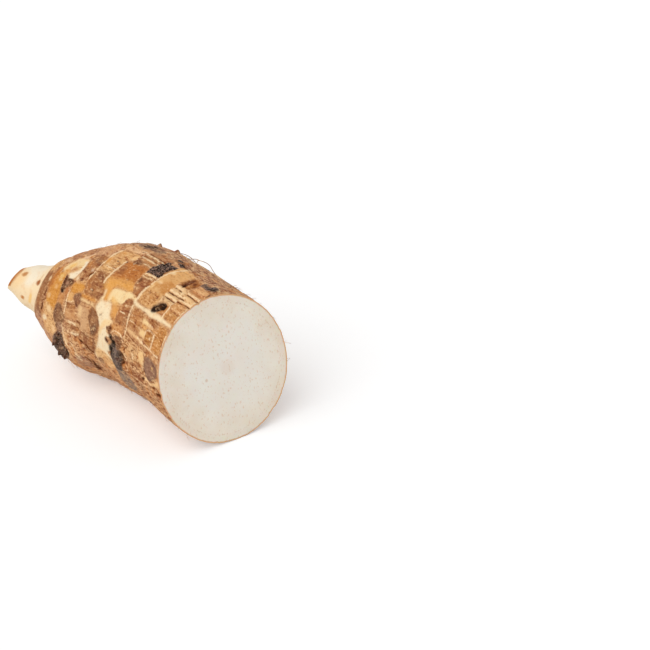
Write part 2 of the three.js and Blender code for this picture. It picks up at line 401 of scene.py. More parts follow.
    ("stain", (218, 150, 78), [(57, 50.4), (64, 50.6), (70, 51.4), (71, 53.4), (66, 54.2), (57.6, 53.4)]),
    ("bare", (240, 202, 148), [(57, 54), (62, 54.4), (69.4, 55), (70, 57), (64, 57), (57.6, 56)]),
    ("band", (210, 164, 120), [(57.2, 60), (62, 59.4), (67.6, 60), (68.4, 64), (68, 68), (68.6, 72),
     (67, 78), (64, 80), (61, 79.6), (60, 75.6), (60.6, 72), (58.6, 70), (57, 68)]),
    ("bare", (230, 190, 140), [(57.4, 60.6), (60, 60.6), (61, 66), (60, 70), (57.6, 68)]),
    ("sheath", (164, 114, 80), [(60.4, 83), (64, 80.4), (68, 79.6), (71, 81), (74.6, 82), (75.6, 85),
     (74.6, 90), (73.6, 96), (71, 98.6), (68.6, 97), (65, 93), (61, 90.6), (59.6, 87)]),
    # the taupe skin along the top
    ("grey", (136, 104, 85), [(69, -23), (74, -24.5), (80, -23), (85, -19), (85.6, -14), (82, -11),
     (76, -10.6), (71, -12), (68.6, -17)]),
    ("scab", (76, 55, 46), [(72, -17), (73.4, -21), (77, -22), (80, -20), (80.4, -17), (77, -13.6),
     (73.6, -13.4)]),
    # the planks and the big orange panel
    ("sheath", (171, 121, 86), [(80, -6), (84, -12), (92, -15), (98, -14), (97, -6), (95.6, -1), (90, -3),
     (84, -4)]),
    ("sheath", (186, 134, 92), [(80, -4), (86, -3.6), (92, -2.6), (96, 0), (95.6, 5), (94, 8), (90, 9.6),
     (84, 9), (80, 6), (79.6, 1)]),
    ("stain", (188, 119, 66), [(75.6, 13), (79, 9.6), (84, 9.6), (90, 9.6), (92.6, 10), (92, 14),
     (91.6, 20), (91.4, 26), (90, 28.4), (84, 28.6), (78, 29.4), (73.6, 29.6), (72.6, 28), (74, 23),
     (75, 18)]),
    ("scab", (150, 102, 72), [(79, 9.6), (80.2, 5.4), (82, 4.6), (85, 7), (86, 9.4), (83, 11.4),
     (79.6, 11)]),
    ("stain", (166, 108, 68), [(75.4, 16), (79, 15.4), (80, 20), (79, 25.6), (74.6, 26), (74.4, 21)]),
    ("glow", (227, 163, 85), [(72, 30), (78, 30.4), (84, 29), (91.4, 27.6), (93, 30), (95.6, 34), (94, 36),
     (88, 36.6), (82, 36), (80, 39), (79.6, 44), (79, 49), (77.4, 50), (76, 47), (75, 42), (73, 40.4),
     (71.8, 37)]),
    ("bare", (249, 220, 166), [(80, 38.4), (83, 36.6), (90, 37), (95, 35.6), (98, 36.6), (101.4, 37.6),
     (101.6, 40), (97, 39.8), (94.4, 41.4), (93.4, 45), (91, 48), (87, 47.6), (83, 49.6), (80, 49.4),
     (79, 46), (79, 42)]),
    # the round scab
    ("scab", (160, 112, 79), [(68.6, 57.6), (70, 58.2), (72, 60), (74.6, 63), (77.4, 66), (78.9, 69.6),
     (78.6, 74), (76.6, 78.4), (73.6, 80.6), (71, 81), (70.4, 79), (71, 76), (69.6, 72), (68.4, 68),
     (68, 63)]),
    ("stain", (128, 84, 58), [(68.4, 59), (70, 60), (70.6, 65), (70.4, 70), (69, 69), (68.2, 64)]),
    ("grey", (128, 94, 74), [(72, 72), (75, 69.6), (77, 71.4), (76.4, 75.6), (73.6, 78.4), (71, 80),
     (70.8, 77)]),
    # the bare window that runs down from the orange panel
    ("bare", (249, 227, 188), [(72.2, 55), (73.6, 51.6), (76, 50.4), (80, 49.8), (84, 50), (85.6, 54),
     (86.2, 59), (90, 61.4), (88.6, 65.6), (85.4, 68), (86.4, 72.4), (89.6, 74.6), (86, 76), (85.2, 78),
     (88, 80.4), (91.6, 81.6), (91, 86), (87.4, 88), (90, 91), (93, 95), (93.4, 99), (88, 98.4), (80, 95.4),
     (78, 98), (75, 97.4), (75.6, 92), (77, 88), (78.6, 83), (79.4, 78), (79.6, 71), (77.8, 65.6),
     (74.6, 61.6), (72.6, 59)]),
    ("torn", (228, 184, 130), [(76, 89), (84, 90.4), (89, 92), (93, 96), (93.4, 102), (88, 105), (80, 100),
     (74, 100), (74.6, 94)]),
    ("bare", (245, 212, 160), [(85.6, 62), (90, 61), (88.6, 65.6), (85.4, 68), (82, 71), (80, 77),
     (79.6, 70), (82, 64)]),
    ("bare", (244, 214, 166), [(73.6, 41), (76, 40.6), (76.4, 46), (76, 50), (74, 50.6), (73, 49.6),
     (74.2, 45)]),
    ("glow", (225, 158, 83), [(76.2, 40), (79.4, 40.6), (79.6, 45), (79, 49.4), (77, 49.6), (76.2, 46)]),
    ("glow", (223, 158, 85), [(85, 50), (88, 49), (91.4, 51), (91.6, 56), (90.6, 60), (86.8, 60),
     (85.8, 55)]),
    ("stain", (240, 190, 118), [(82, 44), (86, 46), (90, 49.4), (85, 49.6), (82.6, 48.6)]),
    ("stain", (214, 146, 78), [(90, 64.6), (95, 63.2), (99, 64), (98, 68.6), (92, 69), (90.6, 67)]),
    ("scab", (122, 74, 36), [(85, 68.2), (87.6, 67.2), (89.4, 65.4), (90.8, 67.4), (90.2, 71), (89.6, 73),
     (87.6, 71), (86, 69.4)]),
    ("hole", (92, 58, 42), [(84.8, 77), (86.6, 76.4), (89.4, 78.6), (89.6, 80), (87, 80.2), (85.2, 79)]),
    ("stain", (152, 108, 76), [(76, 99.6), (78.6, 99.4), (81, 101.6), (82, 104), (79.6, 105), (77, 103)]),
    ("shaggy", (204, 151, 106), [(74.6, 105), (82, 103), (89, 105), (93, 101), (93.6, 110), (92, 124),
     (74, 124), (72.6, 112)]),
    ("sheath", (154, 108, 79), [(75.6, 103.6), (76.4, 99.4), (78.6, 97), (81.6, 97.6), (83, 99.6),
     (80.6, 101.6), (78, 103.6)]),
    ("scab", (104, 74, 58), [(66.6, 116), (69, 112), (71.4, 117), (72, 124), (67, 124)]),
    # the charred plates
    ("char", (82, 64, 56), [(92.4, 14.8), (92.8, 10.6), (93.6, 6.4), (94.6, 2.4), (94.8, -0.6), (96, -2.2),
     (95.6, -5), (98, -6), (99.2, -4), (101.2, -4.6), (102.4, -6.6), (106.2, -6.4), (105, -2), (102.8, 1.2),
     (102.6, 5.4), (103, 9.4), (103, 13), (100, 14.4), (96, 14.6)]),
    ("scab", (128, 84, 58), [(95, -13), (94.4, -18), (96, -20.4), (99.6, -18.6), (102.4, -15.4),
     (105.4, -13), (109, -11.4), (106.4, -8.6), (102.6, -9), (98.6, -11)]),
    ("char", (96, 70, 56), [(95.6, -15.4), (95.4, -18.4), (97.4, -19), (99.4, -17), (98.6, -14.6)]),
    ("char", (96, 70, 56), [(99.4, -10), (100.4, -14), (103, -14), (105, -11.6), (103.6, -9.6)]),
    ("torn", (228, 184, 142), [(98, -8.6), (101, -8.2), (105, -7.4), (108, -8), (106, -6.4), (101.6, -6),
     (98.6, -7)]),
    ("torn", (214, 166, 118), [(92.4, 14.4), (103.4, 14), (103, 20), (92, 19.4)]),
    ("sheath", (174, 118, 80), [(92.6, 20), (96, 19), (102.6, 19.6), (102.4, 26), (101.6, 32), (101, 35.4),
     (97.6, 36), (95, 34.6), (93.4, 31), (92, 27)]),
    ("scab", (130, 82, 58), [(92.6, 20.4), (94.4, 20), (95.4, 22.6), (95.2, 26), (93, 26)]),
    # the tan panel between the ridge and the planks
    ("band", (221, 169, 111), [(104, -8), (110, -11), (117, -10), (118.4, -5), (118, 0), (117.4, 8),
     (117, 24), (118.4, 30), (116.4, 36), (114, 38.6), (102.6, 39.6), (102.4, 30), (103.4, 20),
     (104.6, 8)]),
    ("stain", (204, 143, 84), [(110.6, 12), (114, 9), (117, 9.6), (117.6, 16), (117, 23), (113, 23.6),
     (109, 21), (105, 20.6), (108, 17)]),
    ("torn", (202, 146, 92), [(103.6, 26), (108, 25), (114, 25.6), (118, 30), (115, 36), (110, 38.4),
     (103.6, 38)]),
    ("bare", (246, 208, 156), [(104, 15.4), (107, 14.8), (109.6, 16.2), (107, 17.2), (104.2, 17)]),
    ("bare", (246, 210, 158), [(105, 0.6), (108, 0.2), (108.4, 2.6), (106, 4)]),
    ("bare", (238, 196, 136), [(103.6, 20.4), (106, 20.6), (105.4, 25), (103.6, 25)]),
    # the knob and the burnt eye beside it
    ("stain", (164, 106, 62), [(118.4, -6), (122, -8.4), (126, -5), (127, -1), (126.4, 4), (123.6, 8),
     (120.6, 9), (118.4, 7.6), (118, 1)]),
    ("hole", (112, 72, 48), [(118.8, -6), (120.4, -6), (121.4, -2), (121.8, 2), (122, 6), (121, 8.6),
     (119.4, 8), (118.6, 3), (118.8, -2)]),
    ("soot", (116, 92, 80), [(125.8, -10.6), (128.6, -8), (131, -12), (134.6, -12.6), (136.6, -9.6),
     (136, -5), (132.4, -2.2), (128, -2.2), (126, -4.6)]),
    ("char", (60, 45, 40), [(131, -11.6), (134, -12), (135, -8), (133.4, -3.6), (130.6, -3.4),
     (130.6, -7)]),
    # the planks next to the cut
    ("plate", (234, 194, 144), [(118, 8.4), (122, 7.8), (127, 6.6), (128, 13), (127.6, 28), (122, 27.4),
     (118.6, 29.4), (117.2, 22), (118, 15)]),
    ("plate", (221, 171, 120), [(128, -0.6), (138.4, -2), (138.6, 20), (128.4, 20), (127.6, 10)]),
    ("stain", (192, 132, 86), [(128, 4.2), (138, 3.8), (138, 7.4), (128, 7.6)]),
    ("plate", (234, 190, 137), [(128.4, 12.4), (138.4, 12), (138.6, 19), (128.4, 19.2)]),
    ("torn", (214, 158, 104), [(128.6, 20), (138, 20), (138, 28.6), (128.6, 28.6)]),
    ("torn", (200, 144, 90), [(129, 29.6), (138, 29.6), (138, 37.6), (130, 38), (128.6, 35)]),
    ("stain", (180, 117, 70), [(123, 28.4), (127, 28), (127.6, 32), (125, 35.6), (121, 38.2), (118, 38.4),
     (121, 34)]),
    # the long cream band
    ("bare", (250, 225, 182), [(100, 39.4), (104, 40), (110, 40.4), (114, 39.4), (118, 38.4), (126, 37.6),
     (131, 38.4), (138, 38.6), (138, 41), (130, 41.4), (124, 42), (119, 43.4), (114, 42.6), (108, 42.6),
     (103, 43), (100.6, 42)]),
    ("stain", (190, 124, 70), [(121.4, 28.4), (124, 27), (126.2, 28.4), (127.2, 31.4), (125.4, 35),
     (123, 37.2), (121, 36)]),
    ("hole", (44, 27, 19), [(116.2, 39), (116.4, 35.4), (118.4, 31.8), (120.8, 29.2), (123.2, 27),
     (125, 27.6), (126, 30.4), (124.7, 33.4), (122.8, 35.8), (120, 38.8), (118, 39.8)]),
    ("scab", (100, 72, 56), [(118.8, 35.8), (119.6, 33.6), (121.4, 31.2), (123.2, 30), (124.2, 31.2),
     (122.6, 33.6), (120.8, 35.8)]),
    # the strips under it
    ("sheath", (176, 119, 79), [(94.4, 42), (97, 40.8), (99.6, 41), (101, 44), (101.2, 52), (101, 60),
     (96, 61), (91.4, 61), (90.6, 57), (91.6, 50), (93.6, 46)]),
    ("torn", (210, 152, 98), [(92, 63.4), (96, 62.8), (101.6, 64), (102, 69), (95, 69.6), (91.6, 68.6)]),
    ("sheath", (190, 131, 83), [(103, 43.6), (113, 44), (115, 47), (114.4, 52), (115, 57.6), (103.4, 58),
     (103, 50)]),
    ("bare", (247, 213, 156), [(114.6, 47.2), (118, 46.6), (121.4, 47.4), (121.2, 50.4), (117, 50.6),
     (114.8, 50)]),
    ("stain", (228, 167, 100), [(116, 51), (121, 50.8), (121.2, 53.6), (117, 54)]),
    ("bare", (240, 200, 142), [(115.4, 55), (121.2, 54.4), (122, 58), (121.4, 59.6), (117, 59.6),
     (115, 58.4)]),
    ("bare", (228, 183, 131), [(103.6, 60.8), (110, 60.8), (116, 61.6), (122, 62.6), (122, 64.2), (115, 64),
     (108, 62.8), (103.6, 63)]),
    ("sheath", (180, 120, 76), [(121.2, 43.2), (126, 42.8), (129.4, 44), (128.4, 47), (123.6, 48),
     (121.4, 47)]),
    ("torn", (212, 154, 98), [(121.6, 48.4), (129, 48), (138, 47.6), (138, 51.4), (122, 51.4)]),
    ("sheath", (193, 132, 75), [(121.8, 53.4), (124, 52.4), (127.6, 52.8), (128.4, 57), (128, 61.6),
     (125, 62.4), (122.4, 60.6), (121.8, 57)]),
    ("torn", (198, 138, 80), [(130, 43.4), (138, 43), (138.4, 63), (130.4, 63), (130, 52)]),
    # the mottled lower flank
    ("shaggy", (202, 151, 102), [(103.4, 66.6), (115, 68.6), (123.6, 68), (124, 80), (115, 82.6),
     (104, 79)]),
    ("bare", (240, 198, 140), [(118, 71), (122, 69), (124, 69.4), (124, 79), (122, 79.4), (119.6, 76)]),
    ("bare", (232, 190, 140), [(110.6, 76), (113, 75.6), (113.6, 79), (111.4, 79.6)]),
    ("scab", (150, 111, 90), [(125, 70.6), (129, 69.4), (134, 69.4), (137, 71.6), (138.6, 76), (137.4, 80),
     (134.6, 84), (131, 87.4), (127.6, 87.6), (125, 85), (124.4, 78)]),
    ("bare", (240, 200, 148), [(123.4, 88), (126, 87.4), (128.4, 88.8), (132, 88.2), (135, 85.6),
     (138.6, 82), (138.8, 87), (135, 89), (131, 90.4), (126, 91), (123.6, 90.6)]),
    ("shaggy", (176, 126, 89), [(106, 96), (124, 98), (139, 98), (139, 124), (104, 124), (107, 108)]),
    ("grey", (140, 120, 106), [(93, 100), (97, 98), (101.4, 98), (105.4, 101), (107, 106), (107.8, 111),
     (105, 118), (100, 124), (94, 124), (93.6, 114), (93, 106)]),
    ("grey", (112, 95, 87), [(93.2, 94), (96, 92), (98.6, 95), (102, 97.6), (103, 100.6), (98.6, 102.4),
     (95.4, 101.6), (93.4, 99)]),
    # the big scar on the flank
    ("soot", (96, 86, 80), [(90.6, 82), (91.6, 79), (94, 78), (97.4, 77.4), (100, 79), (102, 81),
     (103, 84.6), (102.2, 88.6), (101, 92), (101.2, 96), (98.6, 100.6), (94.6, 100), (92.4, 95), (91.2, 90),
     (90.4, 86)]),
    ("scab", (138, 97, 72), [(91.6, 76), (92, 72.4), (94.4, 70.2), (97.6, 69.2), (100.4, 70.4), (102.2, 74),
     (102, 78), (99, 81), (94, 79.4)]),
    ("hole", (36, 24, 18), [(89, 73.4), (90.6, 71.8), (92, 73), (93, 75.4), (93.2, 77.6), (91.4, 77.4),
     (89.6, 75.8)]),
    ("hole", (32, 21, 16), [(91.6, 77), (92.8, 75.6), (95.6, 75.2), (96.2, 77.6), (94.6, 79.4),
     (92.2, 79.4)]),
    ("hole", (44, 33, 27), [(89.6, 82), (91, 80.6), (93, 82.4), (92.8, 87.4), (91, 88.4), (89.8, 85)]),
    ("stain", (188, 124, 76), [(103, 86), (105.6, 88), (104.6, 92), (102.2, 94.4), (102.4, 90)]),
]

# Pale lines where a scale or a sheath ends: half width, strength, then (along, around) points
LINES = [
    (0.6, 0.8, [(45.2, 50), (45, 60), (45.4, 72)]),
    (0.6, 0.95, [(44.8, 84), (46.4, 91), (48, 97), (49.5, 101), (53, 105), (58.6, 109)]),
    (0.5, 0.6, [(48.8, 14), (49.8, 20), (49, 28), (47.4, 34)]),
    (0.8, 0.85, [(67, -2), (65, 3), (63.5, 8), (62.2, 15), (61, 20), (60, 25), (59, 30), (57.5, 37)]),
    (0.75, 1.0, [(74.6, 12), (74.2, 16), (73.2, 21), (72, 27), (71, 32), (70.6, 36)]),
    (0.45, 0.9, [(65, 21.4), (68, 22.4), (72, 22.2)]),
    (0.4, 0.6, [(65, 15), (68, 15.6), (71, 15)]),
    (0.55, 0.95, [(69, -9.5), (74, -7), (79.2, -6)]),
    (0.5, 0.6, [(70, -4.4), (76, -3.6), (81, -3.6)]),
    (0.6, 1.0, [(46.6, 76.4), (51, 77), (56.6, 77.6)]),
    (0.55, 1.0, [(46.4, 85.4), (52, 86.8), (60, 85)]),
    (0.35, 0.6, [(47, 59.4), (51, 59), (53, 60)]),
    (0.4, 0.6, [(57, 85), (61, 84.6)]),
    (0.5, 0.7, [(50, 96), (54, 97)]),
    (0.75, 1.0, [(80.6, 0.6), (83, 1.2), (88, 1.8), (94.4, 3.6)]),
    (0.6, 0.9, [(85.4, 7), (88, 7.8), (91, 7), (94, 7)]),
    (0.6, 0.95, [(81.2, -4.2), (88, -3.2), (94.6, -1.6)]),
    (0.6, 0.8, [(80.6, -8), (82.4, -13), (84.6, -18), (87, -22.4)]),
    (0.35, 0.5, [(85, -10), (91, -9), (96, -7)]),
    (0.6, 0.6, [(92, 17), (92.4, 19)]),
    (0.5, 0.95, [(92.6, 15.4), (97, 15.4), (103.4, 14.8)]),
    (0.4, 0.8, [(92.4, 18.4), (97, 18.8), (103, 18)]),
    (0.4, 0.9, [(92, 21), (92, 26), (94.4, 26.8)]),
    (0.85, 1.0, [(108.4, -9), (107, -4), (106, 0), (105, 5), (104.2, 10), (103.6, 15)]),
    (0.8, 1.0, [(103.6, 15), (103, 20), (102.6, 25), (102, 30), (101.6, 38)]),
    (0.7, 0.95, [(101.4, 43), (102, 50), (102.4, 55), (102.8, 60), (103.4, 70)]),
    (0.4, 0.7, [(110, -8.6), (114, -8.4), (119, -7.4)]),
    (0.3, 0.8, [(92.6, 47.4), (96, 47.2), (99.6, 45.4)]),
    (0.35, 1.0, [(92.4, 52.4), (95, 53), (99, 52.6)]),
    (0.35, 0.7, [(95, 58.8), (99, 59.4), (102.6, 59)]),
    (0.3, 0.6, [(96, 42.8), (99, 43.6)]),
    (0.5, 0.8, [(90.6, 71.4), (93, 68.6), (96, 67.4), (99.6, 68), (101.6, 70), (102.2, 73)]),
    (0.3, 0.9, [(89.6, 73.6), (91.6, 71.6)]),
    (0.4, 0.7, [(104, 55), (109, 54.4), (114.6, 55)]),
    (0.35, 0.6, [(104, 50.6), (108, 49.6)]),
    (0.5, 0.8, [(103.6, 41), (109, 41), (114, 41.2)]),
    (0.7, 0.9, [(127.8, 21), (128.2, 30), (128, 38)]),
    (0.6, 0.95, [(138.2, 8), (138.4, 20), (138.4, 36)]),
    (0.6, 0.8, [(138.6, 48), (138.6, 62)]),
    (0.35, 0.8, [(121.8, 53), (124, 51.8), (128, 52)]),
    (0.6, 0.95, [(129, 52), (129.4, 58), (129, 63.6)]),
    (0.45, 0.8, [(121.6, 53), (121.6, 57)]),
    (0.4, 0.6, [(125.4, 57), (127, 57.2)]),
    (0.5, 0.9, [(115, 62.4), (122, 63.4), (129, 64.2), (138, 65)]),
    (0.3, 0.5, [(127.5, 46), (130, 44.6)]),
    (0.4, 0.7, [(121.6, 49.4), (127, 49), (133, 49)]),
    (0.6, 0.7, [(138, 68), (138.6, 76)]),
    (0.3, 0.6, [(103.6, 72), (106, 71), (109, 70)]),
    (0.35, 0.5, [(104, 76), (107, 78), (110, 77.4)]),
    (0.45, 0.7, [(99, 100), (103, 97), (107, 93.6)]),
    (0.5, 0.6, [(114, 97.6), (120, 97), (124, 95)]),
    (0.4, 0.5, [(110, 88), (116, 86)]),
    (0.4, 0.5, [(128, 101), (136, 97)]),
    (0.45, 0.8, [(104.4, 75), (104.6, 79), (105.2, 82.5), (107, 85)]),
    (0.45, 0.8, [(112.2, 76), (113.8, 77.6), (112, 82), (114, 85.4)]),
    (0.5, 0.8, [(123.2, 77), (123.6, 82), (123.2, 88)]),
    (0.5, 0.8, [(109.2, 102.6), (113, 102.4), (115.4, 105.4)]),
    (0.4, 0.6, [(104, 97.6), (108, 97.6), (112, 95.6)]),
    (0.4, 0.6, [(115.4, 69), (118, 71.4), (120.4, 75)]),
    (0.6, 0.8, [(46.4, 103.4), (48.8, 107.4), (53.4, 109.4), (58.4, 112.4)]),
    (0.6, 0.9, [(54, 97), (55.8, 100.6), (57.4, 108), (59, 114.6)]),
    (0.55, 0.95, [(74, 94.4), (74.6, 99.6), (75, 104)]),
]

# Dark cracks, coloured with painted shade: half width, strength, then (along, around) points
SHADED_CRACKS = [
    (0.9, 0.6, [(29, 13.5), (28.4, 17), (27.4, 21), (27, 25), (26.6, 27)]),
    (0.6, 0.5, [(26.6, 27), (26, 32), (26.4, 36)]),
    (0.7, 0.45, [(26.6, 41), (26.4, 48)]),
    (0.8, 0.85, [(26, 52), (26.2, 56), (26, 62)]),
    (0.55, 0.85, [(28, 64.8), (27, 67.4), (25.9, 69.6)]),
    (0.85, 0.95, [(26.4, 75), (26.6, 79), (26.4, 83)]),
    (0.5, 0.5, [(26.6, 83.5), (28, 86)]),
    (0.55, 0.6, [(43.8, 56), (43.9, 65)]),
    (0.6, 1.0, [(58.5, 30), (57.2, 32), (56, 34.4)]),
    (0.4, 0.6, [(57.6, 57), (62, 58), (66, 57.8), (70, 58.4)]),
    (0.7, 0.6, [(70.4, 58.6), (74, 62), (77.2, 66), (78.4, 70), (77.6, 74.6), (75.6, 78.4), (72.6, 80.6)]),
    (0.55, 0.6, [(73.4, 46.4), (72.4, 49.4), (71, 52.4)]),
    (0.35, 0.7, [(46.4, 61), (50, 62.4), (53, 61.4), (55, 62)]),
    (0.4, 0.6, [(52, 56.6), (54, 59.6), (55.4, 62)]),
    (0.7, 1.0, [(60.4, 89.4), (63.6, 90)]),
    (0.5, 0.8, [(64.4, 91.4), (67.4, 91.6)]),
    (0.6, 0.9, [(67.4, 91.6), (69, 94), (72.4, 96.4)]),
    (0.5, 0.6, [(64.8, 106), (66.8, 113), (67.6, 118)]),
    (0.4, 0.6, [(72, 95), (75, 90.6)]),
    (0.6, 0.95, [(63.4, 105.6), (65, 109), (66, 113.6)]),
    (1.1, 0.9, [(67.8, 111), (69, 116), (69.4, 123)]),
    (0.8, 0.8, [(57.6, 74.6), (59.4, 75), (61, 76.4)]),
    (0.6, 0.7, [(58.4, 79), (59.6, 80.4), (60.6, 81.6)]),
    (0.4, 0.6, [(48.4, 80), (53, 79.4), (58, 80)]),
    (0.35, 0.5, [(48.4, 89.4), (54, 88.4), (59, 88)]),
    (0.4, 0.5, [(66, 18.6), (69, 19), (72, 18.4)]),
    (0.4, 0.5, [(62.4, 20.4), (66, 20)]),
    (0.4, 0.6, [(64, 24.4), (68, 25), (72, 25)]),
    (0.35, 0.5, [(73.4, 26.8), (76, 27)]),
    (0.4, 0.6, [(67, -1.4), (71, -1), (74, -1.8), (79, -0.4)]),
    (0.5, 0.85, [(82, -6.8), (88, -5.8), (95.4, -3.8)]),
    (0.8, 0.65, [(81.4, -1.4), (86.4, -0.8), (92.4, 0.8)]),
    (0.35, 0.6, [(81, 4.8), (85, 5.2), (89, 5), (94.4, 5.4)]),
    (0.4, 0.6, [(88, -12), (94, -9.4), (99, -7)]),
    (0.4, 0.8, [(92.6, 17), (97, 17.2), (103, 16)]),
    (0.35, 0.6, [(93, 20), (98, 20), (102.4, 19.4)]),
    (0.3, 0.7, [(98, 35.4), (101, 35)]),
    (0.35, 0.8, [(95, 61.4), (98, 61), (101, 62.4), (103.6, 64.4), (107, 65.4), (113, 66.8)]),
    (0.4, 0.7, [(113, 66.8), (118, 67.2), (121.4, 65), (126, 66.4), (131, 66.8), (136, 66)]),
    (0.7, 0.55, [(122.6, 66.6), (127, 67.4), (131, 67.4)]),
    (0.8, 0.4, [(116, 67.6), (119, 67.4)]),
    (0.35, 0.6, [(103.6, 53.6), (107, 54), (110, 52.4)]),
    (0.3, 0.6, [(115, 59.8), (118, 60.6), (121.6, 60.8)]),
    (0.3, 0.6, [(117, 51.2), (119, 54.2)]),
    (0.3, 0.6, [(121.6, 51.4), (129, 51.2)]),
    (0.35, 0.6, [(130, 53), (134, 52.4), (137.4, 53.2)]),
    (0.45, 0.8, [(121.6, 43.6), (125, 43.6), (129, 44.4)]),
    (0.35, 0.5, [(103.6, 43), (108, 44), (113, 43.4)]),
    (0.35, 0.5, [(104, 46.4), (109, 47)]),
    (0.3, 0.5, [(94.4, 49), (98, 50.4), (101, 49.4)]),
    (0.3, 0.5, [(93, 55), (97, 55.6), (100.4, 54.6)]),
    (0.3, 0.5, [(103.6, 39), (109, 38.8), (114.6, 38.8)]),
    (0.35, 0.4, [(104, 28), (109, 26.8), (113, 27.6)]),
    (0.3, 0.4, [(104, 33.4), (108, 35)]),
    (0.3, 0.5, [(108, -0.6), (112, 0.4), (117, 0)]),
    (0.35, 0.5, [(108, -5.6), (113, -6.4), (118, -5.4)]),
    (0.3, 0.5, [(119, -9), (124, -7.6), (128, -6)]),
    (0.35, 0.8, [(103, -13.4), (107, -14.6), (111, -15)]),
    (0.6, 1.0, [(121.2, 7.4), (121.6, 4.4), (121.4, 1), (121, -2.4), (121.2, -5.6)]),
    (0.4, 0.7, [(124.4, 5), (125, 2), (124.6, -2)]),
    (0.6, 0.6, [(103.6, 77), (105.4, 75.4)]),
    (0.5, 0.9, [(111.4, 75.2), (112.6, 74), (113.8, 73.2)]),
    (0.7, 0.45, [(108.6, 79), (110.6, 80.4)]),
    (0.4, 0.5, [(112, 81.6), (116, 81), (120, 80.6)]),
    (0.4, 0.5, [(118, 79.6), (123, 79.4)]),
    (0.6, 0.95, [(122.8, 85.2), (124.8, 83.6)]),
    (0.9, 0.95, [(121.8, 91), (123.4, 89.4)]),
    (0.35, 0.5, [(124, 87), (128, 88.2), (132, 87.4), (136, 83.4)]),
    (0.8, 0.8, [(132, 91.4), (134.4, 90)]),
    (1.1, 0.9, [(134.6, 95), (138.6, 93.4)]),
    (0.4, 0.5, [(104, 84), (108, 82.4), (111, 80)]),
    (0.5, 0.5, [(105, 89), (109, 86)]),
    (0.4, 0.5, [(110, 94), (114, 91)]),
    (0.4, 0.5, [(100, 100.6), (105, 97), (109, 92)]),
    (0.6, 0.5, [(105, 101.4), (109, 99)]),
    (0.6, 0.6, [(114.6, 106), (118, 103.4)]),
    (0.5, 0.8, [(121, 104.6), (124, 102)]),
    (0.5, 0.6, [(124.6, 110), (128, 107.4)]),
    (0.4, 0.5, [(130, 103), (135, 99.6)]),
    (0.5, 0.5, [(100, 118), (108, 112)]),
    (0.5, 0.5, [(82, 116), (90, 110)]),
    (0.4, 0.5, [(77, 113), (84, 108)]),
    (0.4, 0.5, [(83, 99.6), (87, 99)]),
    (0.3, 0.5, [(76.6, 61.4), (79.6, 60)]),
    (0.4, 0.5, [(75.6, 86), (77.4, 83)]),
    # marks of the lower flank
    (0.5, 0.9, [(103.6, 79), (105.4, 76.4), (106.6, 75)]),
    (0.4, 0.7, [(111, 79), (112.4, 83), (111.8, 89)]),
    (0.5, 0.8, [(116, 86), (120, 84.6)]),
    (0.55, 0.8, [(110, 99.4), (113.6, 99), (117.6, 100.4)]),
    (0.5, 0.7, [(99, 105.6), (101, 110.4)]),
    (0.4, 0.7, [(125.6, 67.6), (127.8, 70.6)]),
    (0.45, 0.7, [(106.4, 88), (109.4, 91.4), (110.4, 96)]),
    (0.45, 0.6, [(117, 91), (119, 95), (118, 99)]),
    # the folds of the knobbly bud
    (0.6, 1.0, [(38.6, 100.4), (40.6, 97.6), (41.6, 94.6), (43.2, 95.4)]),
    (0.7, 1.0, [(41, 102.6), (42.6, 100.6), (45, 104), (47, 106), (49, 108.6), (49.4, 112), (47.6, 115)]),
    (0.45, 0.8, [(42.4, 107.4), (44.6, 106), (46.4, 107)]),
    # the rim of the flank's scar
    (0.7, 1.0, [(101.4, 80.8), (103.2, 83.4), (103.6, 87), (102.6, 90), (100.4, 92.4)]),
    # the wedge beside it
    (0.4, 0.6, [(87.4, 88), (90, 87.4), (92, 86)]),
]

# Grooves that run with the grain in the ridged plates, with painted shade in them and a painted highlight
# on one lip: along and around of both ends, depth share
GROOVES = [
    (118, 12, 124, 11.8, 1.0), (117.4, 18, 130.4, 16.6, 1.0), (117.8, 23, 127.2, 22, 1.0),
    (128.4, 11.2, 138.4, 11, 1.0), (128.6, 17, 133, 16.4, 0.6), (128.4, 20, 138.2, 19.4, 0.9),
    (129, 24, 138, 23.6, 0.5), (128.4, 5.6, 138.2, 5.2, 0.5), (129, 29.2, 138, 29, 0.6),
]

SPOT_COLOURS = {
    "black": (30, 20, 15),
    "umber": (104, 62, 34),
    "rust": (188, 120, 62),
    "hazel": (166, 98, 42),
    "straw": (246, 198, 120),
    "cream": (246, 214, 168),
    "ash": (120, 104, 96),
    "soot": (98, 72, 58),
    "bark": (140, 96, 70),
}

